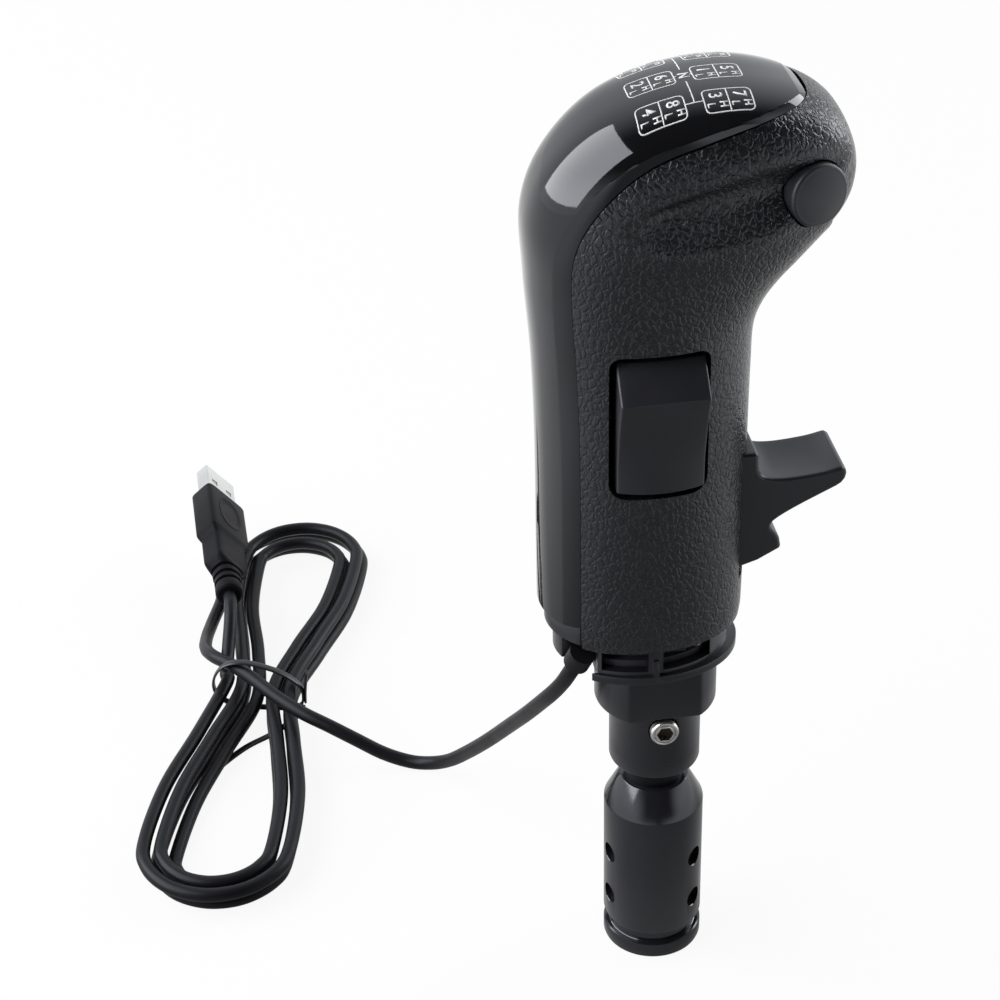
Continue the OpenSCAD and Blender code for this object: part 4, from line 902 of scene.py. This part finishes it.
# %% Rocker
rocker_corners = np.array([(-6.3, 15.5), (-12.0, 8.3), (-10.7, 4.0), (-9.5, -1.5), (-8.85, -8.5),
                           (-9.1, -16.0), (-6, -15.9), (1.5, -9.5), (1.5, 9.5), (-3.3, 15.6)])
ridge_z = rocker_corners[1, 1]
rocker_w, rocker_edge, rocker_shift = 19.3, 0.5, 0.4
lower_bow, upper_bow, bow_half = 1.9, 1.1, 9.5
rocker_pin_r, plunger_r, plunger_z = 1.55, 1.72, 4.6
place, outlines = soft_bar(rocker_corners, rocker_w, rocker_edge)
front = smooth_step((-outlines[..., 0] - 2.0) / 4.0)
below = smooth_step((ridge_z - outlines[..., 1]) / 24.0)
above = smooth_step((outlines[..., 1] - ridge_z) / 7.0)
bow = front * (lower_bow * below + upper_bow * above) * (place[:, None] / bow_half)**2
along = rocker_shift + place[:, None] + 0 * bow
rocker_rows = np.stack([along, outlines[..., 0] + bow, outlines[..., 1]], -1)
rocker = closed_loft("rocker_paddle", rocker_pivot + rocker_rows, 40)
pin_bore = rod(rocker_pin_r, -12, 12)[..., [2, 0, 1]]
plunger_bore = rod(plunger_r, -5.5, 3, 32)[..., [0, 2, 1]]
bores = [closed_loft("cut_pin", rocker_pivot + pin_bore)]
for z in (-plunger_z, plunger_z):
    bores.append(closed_loft("cut_plunger", rocker_pivot + (0, 0, z) + plunger_bore))
cut(rocker, bores, 40)
dress(rocker, "control_plastic", "rocker", "rocker_cap")

# %% [markdown]
# ## The trigger
# The front lever is one flat moulding with a rounded outline: a dished paddle for the finger above, and a
# horn below it. Its outline is drawn about the pivot and carried across the width, with a generous radius
# on every edge.

# %% Trigger
root_x, reach, tip_h, eye_r = 14.4, 36.0, 9.0, 6.5
trigger_w, trigger_edge, dish_depth, trigger_pin_r = 17.0, 0.9, 0.7, 2.05
paddle_top = curve_through([(root_x + 1.5, 10.6), (root_x + 3, 8.4), (reach - 13.5, 7.6), (reach - 6, 8.1),
                            (reach - 1.2, tip_h)], np.linspace(0, 4, 26))
paddle_tip = [(reach - 0.2, tip_h - 0.7), (reach, tip_h - 1.8), (reach - 0.3, tip_h - 3.1),
              (reach - 1.1, tip_h - 4.2)]
paddle_under = curve_through([(reach - 2.4, tip_h - 5), (reach - 10.7, -0.1), (root_x + 6, -3),
                              (root_x + 4.8, -4.8), (root_x + 6.2, -6.9), (root_x + 7.5, -9.6)],
                             np.linspace(0, 4.5, 30))
horn = [(root_x + 7.3, -10.8), (root_x + 2, -13.7), (root_x - 2.7, -15.2), (root_x - 6, -15.2),
        (root_x - 6, -20), (root_x - 9, -20), (0, -eye_r)]
bend = np.linspace(0.15, np.pi - 0.15, 12)
eye = eye_r * np.stack([-np.sin(bend), -np.cos(bend)], 1)
trigger_line = np.vstack([[(0, eye_r), (root_x - 2.6, 14.8), (root_x + 1.3, 14.8)], paddle_top, paddle_tip,
                          paddle_under, horn, eye])
place, outlines = soft_bar(trigger_line, trigger_w, trigger_edge, 8, 15)
scoop = (smooth_step((outlines[..., 0] - root_x - 2) / 4) * smooth_step((reach - 1 - outlines[..., 0]) / 5)
         * smooth_step((outlines[..., 1] - 5.5) / 1.5))
dish = scoop * dish_depth * np.maximum(0, 1 - (place[:, None] / (trigger_w / 2))**2)
trigger_rows = np.stack([outlines[..., 0], place[:, None] + 0 * dish, outlines[..., 1] - dish], -1)
trigger = closed_loft("trigger_paddle", trigger_pivot + trigger_rows, 40)
pin_bore = rod(trigger_pin_r, -12, 12)[..., [0, 2, 1]]
cut(trigger, [closed_loft("cut_pin", trigger_pivot + pin_bore)], 40)
dress(trigger, "control_plastic", "trigger", "trigger_lever")

# %% [markdown]
# ## The thumb button
# A round button comes through the skin at the end of the thumb's groove. It is a turned shape, so a profile
# of radius and height says everything: a straight side, a rounded edge and a face that is a very flat dome.

# %% Button
bend = np.linspace(0, np.pi / 2, 9)
cap_r, face_edge, edge_r, edge_z, face_z, dome = 6.8, 5.9, 0.9, 1.05, 1.95, 0.85
face_r = np.linspace(face_edge, 0.05, 20)
button_profile = np.vstack([[(0.05, -7.7), (7.4, -7.7), (7.5, -7.6), (7.5, -6.7), (7.4, -6.6), (cap_r, -6.6)],
                            np.stack([np.full(8, cap_r), np.linspace(-5.5, 0.6, 8)], 1),
                            np.stack([face_edge + edge_r * np.cos(bend), edge_z + edge_r * np.sin(bend)], 1),
                            np.stack([face_r[1:], face_z + dome * (1 - (face_r[1:] / face_edge)**2)], 1)])
button = closed_loft("thumb_button", on_button(revolve(button_profile, 80)), 40)
dress(button, "control_plastic", "button", "button_cap")

# %% [markdown]
# ## The button's spring
# A coil of steel wire behind the button pushes it out again. It is a round wire swept along a helix: every
# point of the wire's section turns about the button's axis and climbs as it turns.

# %% Button's spring
half_turns, coil_mid, wire_r, coil_low, coil_tall, seat_depth = 11, 4.2, 0.35, -15.6, 7.3, 16
winding = np.linspace(0, half_turns * np.pi, 160)[:, None]
wire = full_turn(12)
coil_r = coil_mid + wire_r * np.cos(wire)
climb = coil_low + coil_tall * winding / winding[-1] + wire_r * np.sin(wire)
coil = np.stack([coil_r * np.cos(winding), coil_r * np.sin(winding), climb], -1)
spring = closed_loft("coil_spring", on_button(coil))
dress(spring, "bright_steel", "knob", "button_spring")
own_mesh(spring)

# %% [markdown]
# ## The adapter
# The adapter is turned from bar and blacked: a foot ring, a groove, a long body with two rows of screw
# holes, and a cone. A profile carried once round gives it all, with small chamfers that catch the light on
# every edge. The holes are cut through, so the grub screws show at their bottoms.

# %% Adapter
adapter_profile = [(8.42, 36), (8.42, 0.3), (8.7, 0), (11.5, 0), (11.85, 0.15), (12, 0.55), (12, 3.45),
                   (11.85, 3.85), (11.5, 4), (10.75, 4), (10.6, 4.15), (10.6, 7.45), (10.75, 7.6),
                   (11.5, 7.6), (11.87, 7.75), (12, 8.1), (12, 25), (12, 42.3), (11.93, 42.62), (8.35, 49.7),
                   (8.2, 49.9), (7.95, 50), (6.02, 50), (6.02, 40), (6.02, 36.01), (8.42, 36)]
adapter_sides, hole_r = 128, 2.52
hole_heights, hole_angles = (15.3, 28.3), np.radians([76.0, 196.0, 316.0])
adapter = make("clamp_adapter", revolve(adapter_profile, adapter_sides),
               grid_faces(len(adapter_profile), adapter_sides, True).tolist(), 22)
hole = revolve([(hole_r, 7), (hole_r, 11.75), (2.7, 12.05), (2.9, 12.6)], 48)
up = np.array([0, 0, 1.0])
holes = []
for z in hole_heights:
    for angle in hole_angles:
        way, side = np.array([np.cos(angle), np.sin(angle), 0]), np.array([-np.sin(angle), np.cos(angle), 0])
        holes.append(closed_loft("cut_clamp", z * up + hole @ np.stack([side, up, way])))
cut(adapter, holes, 22)
dress(adapter, "adapter_black", "knob", "lever_adapter")

# %% [markdown]
# ## The hub
# The hub under the grip is a moulding of two cylinders. The upper one has a spanner flat on each side,
# which is a circle cut off at a fixed distance. The rows of the loft step from the round section to the
# flatted one.

# %% Hub
angle, screw_z = full_turn(144), 70.0


def flatted(radius, z, flat=11.6):
    """Ring of a circle whose sides are cut off flat."""
    return np.stack([radius * np.cos(angle), np.clip(radius * np.sin(angle), -flat, flat), z + 0 * angle], -1)


def on_screw(rings):
    """Rings about the set screw's own axis, which points straight out of the hub at the height of the
    screw."""
    return np.stack([rings[..., 0], -rings[..., 2], rings[..., 1]], -1) + np.array([0, 0, screw_z])


hub_rows = [(6.05, 57), (6.05, 55.6), (6.2, 55.5), (9.7, 55.5), (10.2, 55.62), (10.6, 55.95), (10.8, 56.5),
            (10.8, 60), (10.8, 73.7), (10.9, 73.95), (11.15, 74.0), (13.9, 74.0, 11.3), (14.2, 74.1, 11.5),
            (14.3, 74.4), (14.3, 80), (14.3, 88.1), (14.2, 88.5), (6.0, 88.5)]
hub = closed_loft("mount_hub_skin", np.stack([flatted(*row) for row in hub_rows]), 30)
socket = closed_loft("cut_set_screw", on_screw(revolve([(3.5, 5), (3.5, 9.9), (3.9, 10.6), (3.9, 14)], 48)))
cut(hub, [socket], 30)
dress(hub, "hub_plastic", "knob", "mount_hub")

# %% [markdown]
# ## Solids that only need softer edges
# The collar and the stud have the right shape already, but every edge of a solid is perfectly sharp, and no
# real edge is. A copy of the solid is merged, its flat faces are joined, and a narrow bevel is put on its
# edges.

# %% Softened copies
def softened(node, name, width, sharp=30):
    """Copy of a solid with its flat faces joined and its edges over the sharp angle bevelled."""
    mesh = frame["nodes"][node].data.copy()
    b = bmesh.new()
    b.from_mesh(mesh)
    bmesh.ops.remove_doubles(b, verts=b.verts, dist=2e-6)
    bmesh.ops.dissolve_limit(b, angle_limit=np.radians(0.6), verts=b.verts, edges=b.edges)
    b.to_mesh(mesh)
    b.free()
    piece = placed(name, mesh)
    mesh.name = name
    bevel = piece.modifiers.new("edge", "BEVEL")
    bevel.width, bevel.segments, bevel.use_clamp_overlap = width * MM, 2, True
    bevel.limit_method, bevel.angle_limit = "ANGLE", np.radians(sharp)
    applied(piece)
    shade(piece, sharp)
    return piece


dress(softened("base_collar", "collar", 0.22), "hub_plastic", "knob", "base_collar")
dress(softened("threaded_stud", "stud", 0.25), "black_steel", "knob", "threaded_stud")

# %% [markdown]
# ## The set screw
# The bright grub screw has a cupped rim, a fine ring turned into its face and a six-sided socket. A turned
# profile gives the rim and the ring, and a six-sided prism cuts the socket.

# %% Set screw
screw_profile = [(0.05, 6.1), (3.2, 6.1), (3.4, 6.3), (3.4, 11.4), (3.3, 11.75), (3.05, 12.0), (2.8, 12.06),
                 (2.62, 12.0), (2.5, 11.75), (2.38, 11.75), (2.26, 11.98), (2.05, 12.08), (0.05, 12.0)]
screw = closed_loft("set_screw", on_screw(revolve(screw_profile, 72)), 30)
six = closed_loft("cut_six", on_screw(revolve([(1.95, 9.5), (1.95, 11.85), (2.1, 12.3)], 6)))
cut(screw, [six], 30)
dress(screw, "bright_steel", "knob", "hub_set_screw")
socket_floor = closed_loft("socket_floor", on_screw(rod(1.93, 9.4, 10.6, 6)))
dress(socket_floor, "socket_brown", "knob")

# %% [markdown]
# ## The studio
# The photograph has a plain white ground and soft lamps at both sides. Black plastic shows little but what
# it mirrors, so the floor is the real lamp here. The camera sees it white with a faint shadow. In the
# mirror it glows white behind the shifter and at both sides, a painted reflection of light, and dim in
# front, where no lamp stands. That leaves the front of the grip dark, with pale rims at both sides.

# %% Floor
floor_mesh = bpy.data.meshes.new("studio_floor")
floor_mesh.from_pydata([(-9, -9, 0), (9, -9, 0), (9, 9, 0), (-9, 9, 0)], [], [(0, 1, 2, 3)])
floor = placed("studio_floor", floor_mesh)
paper = bpy.data.materials.new("studio_paper")
paper.use_nodes = True
tree = paper.node_tree
tree.nodes.clear()
matt = put(tree, "ShaderNodeBsdfDiffuse", None, Color=(0.2, 0.2, 0.2, 1))
path = put(tree, "ShaderNodeLightPath")
mirrored = sums(tree, "MAXIMUM", path.outputs["Is Glossy Ray"], path.outputs["Is Transmission Ray"])
place = put(tree, "ShaderNodeSeparateXYZ", None, Vector=put(tree, "ShaderNodeTexCoord").outputs["Object"])
# painted reflection: in the mirror the floor glows white behind the shifter and at both sides, and is dim in
# front
back = spread(tree, place.outputs["Y"], -0.1, 0.3, 0.04, kind=SOFT)
sides = spread(tree, sums(tree, "ABSOLUTE", place.outputs["X"], 0.0), 0.07, 0.28, kind=SOFT)
painted_mirror_glow = sums(tree, "MULTIPLY", mirrored, sums(tree, "MAXIMUM", back, sides))
glow = put(tree, "ShaderNodeEmission", None, Color=(1, 1, 1, 1), Strength=1.22)
white_share = sums(tree, "MAXIMUM", sums(tree, "MULTIPLY", path.outputs["Is Camera Ray"], 0.75), painted_mirror_glow)
mixed = put(tree, "ShaderNodeMixShader", None, _0=white_share, _1=matt.outputs[0], _2=glow.outputs[0])
put(tree, "ShaderNodeOutputMaterial", None, Surface=mixed.outputs[0])
floor_mesh.materials.append(paper)

# %% Lamps and surroundings
def lamp(name, place, aim, size, power):
    """Soft box: a rectangle of light that stands at its place, faces its aim and keeps its sides level."""
    light = bpy.data.lights.new(name, "AREA")
    light.shape, light.size, light.size_y, light.energy = "RECTANGLE", size[0], size[1], power
    back = unit(np.array(place, float) - np.array(aim, float))
    right = unit(np.cross([0, 0, 1], back))
    stand(placed(name, light), (right, np.cross(back, right), back), place)


lamp("left_box", place=(-1.2, 0.1, 0.9), aim=(0, 0, 0.12), size=(1.9, 1.3), power=48)
lamp("right_box", place=(1.25, 0.5, 0.6), aim=(0.1, 0, 0.05), size=(0.6, 1.1), power=12)
world = bpy.data.worlds.new("studio")
bpy.context.scene.world = world
world.use_nodes = True
tree = world.node_tree
tree.nodes.clear()
path = put(tree, "ShaderNodeLightPath")
way = put(tree, "ShaderNodeSeparateXYZ", None, Vector=put(tree, "ShaderNodeTexCoord").outputs["Generated"])
behind = spread(tree, way.outputs["Y"], -0.1, 0.75, 0.06, 1.1, SOFT)
aside = spread(tree, sums(tree, "ABSOLUTE", way.outputs["X"], 0.0), 0.4, 0.9, 0.0, 1.5, SOFT)
low = spread(tree, way.outputs["Z"], 0.55, 0.1, kind=SOFT)
bright = sums(tree, "MAXIMUM", behind, sums(tree, "MULTIPLY", aside, low))
room = put(tree, "ShaderNodeBackground", None, Color=(0.95, 0.97, 1, 1), Strength=bright)
white = put(tree, "ShaderNodeBackground", None, Color=(1, 1, 1, 1), Strength=1.0)
sky = put(tree, "ShaderNodeMixShader", None, _0=path.outputs["Is Camera Ray"], _1=room.outputs[0],
          _2=white.outputs[0])
put(tree, "ShaderNodeOutputWorld", None, Surface=sky.outputs[0])
bpy.context.scene.view_settings.view_transform = "Standard"
print("studio: 2 lamps, floor and surroundings")
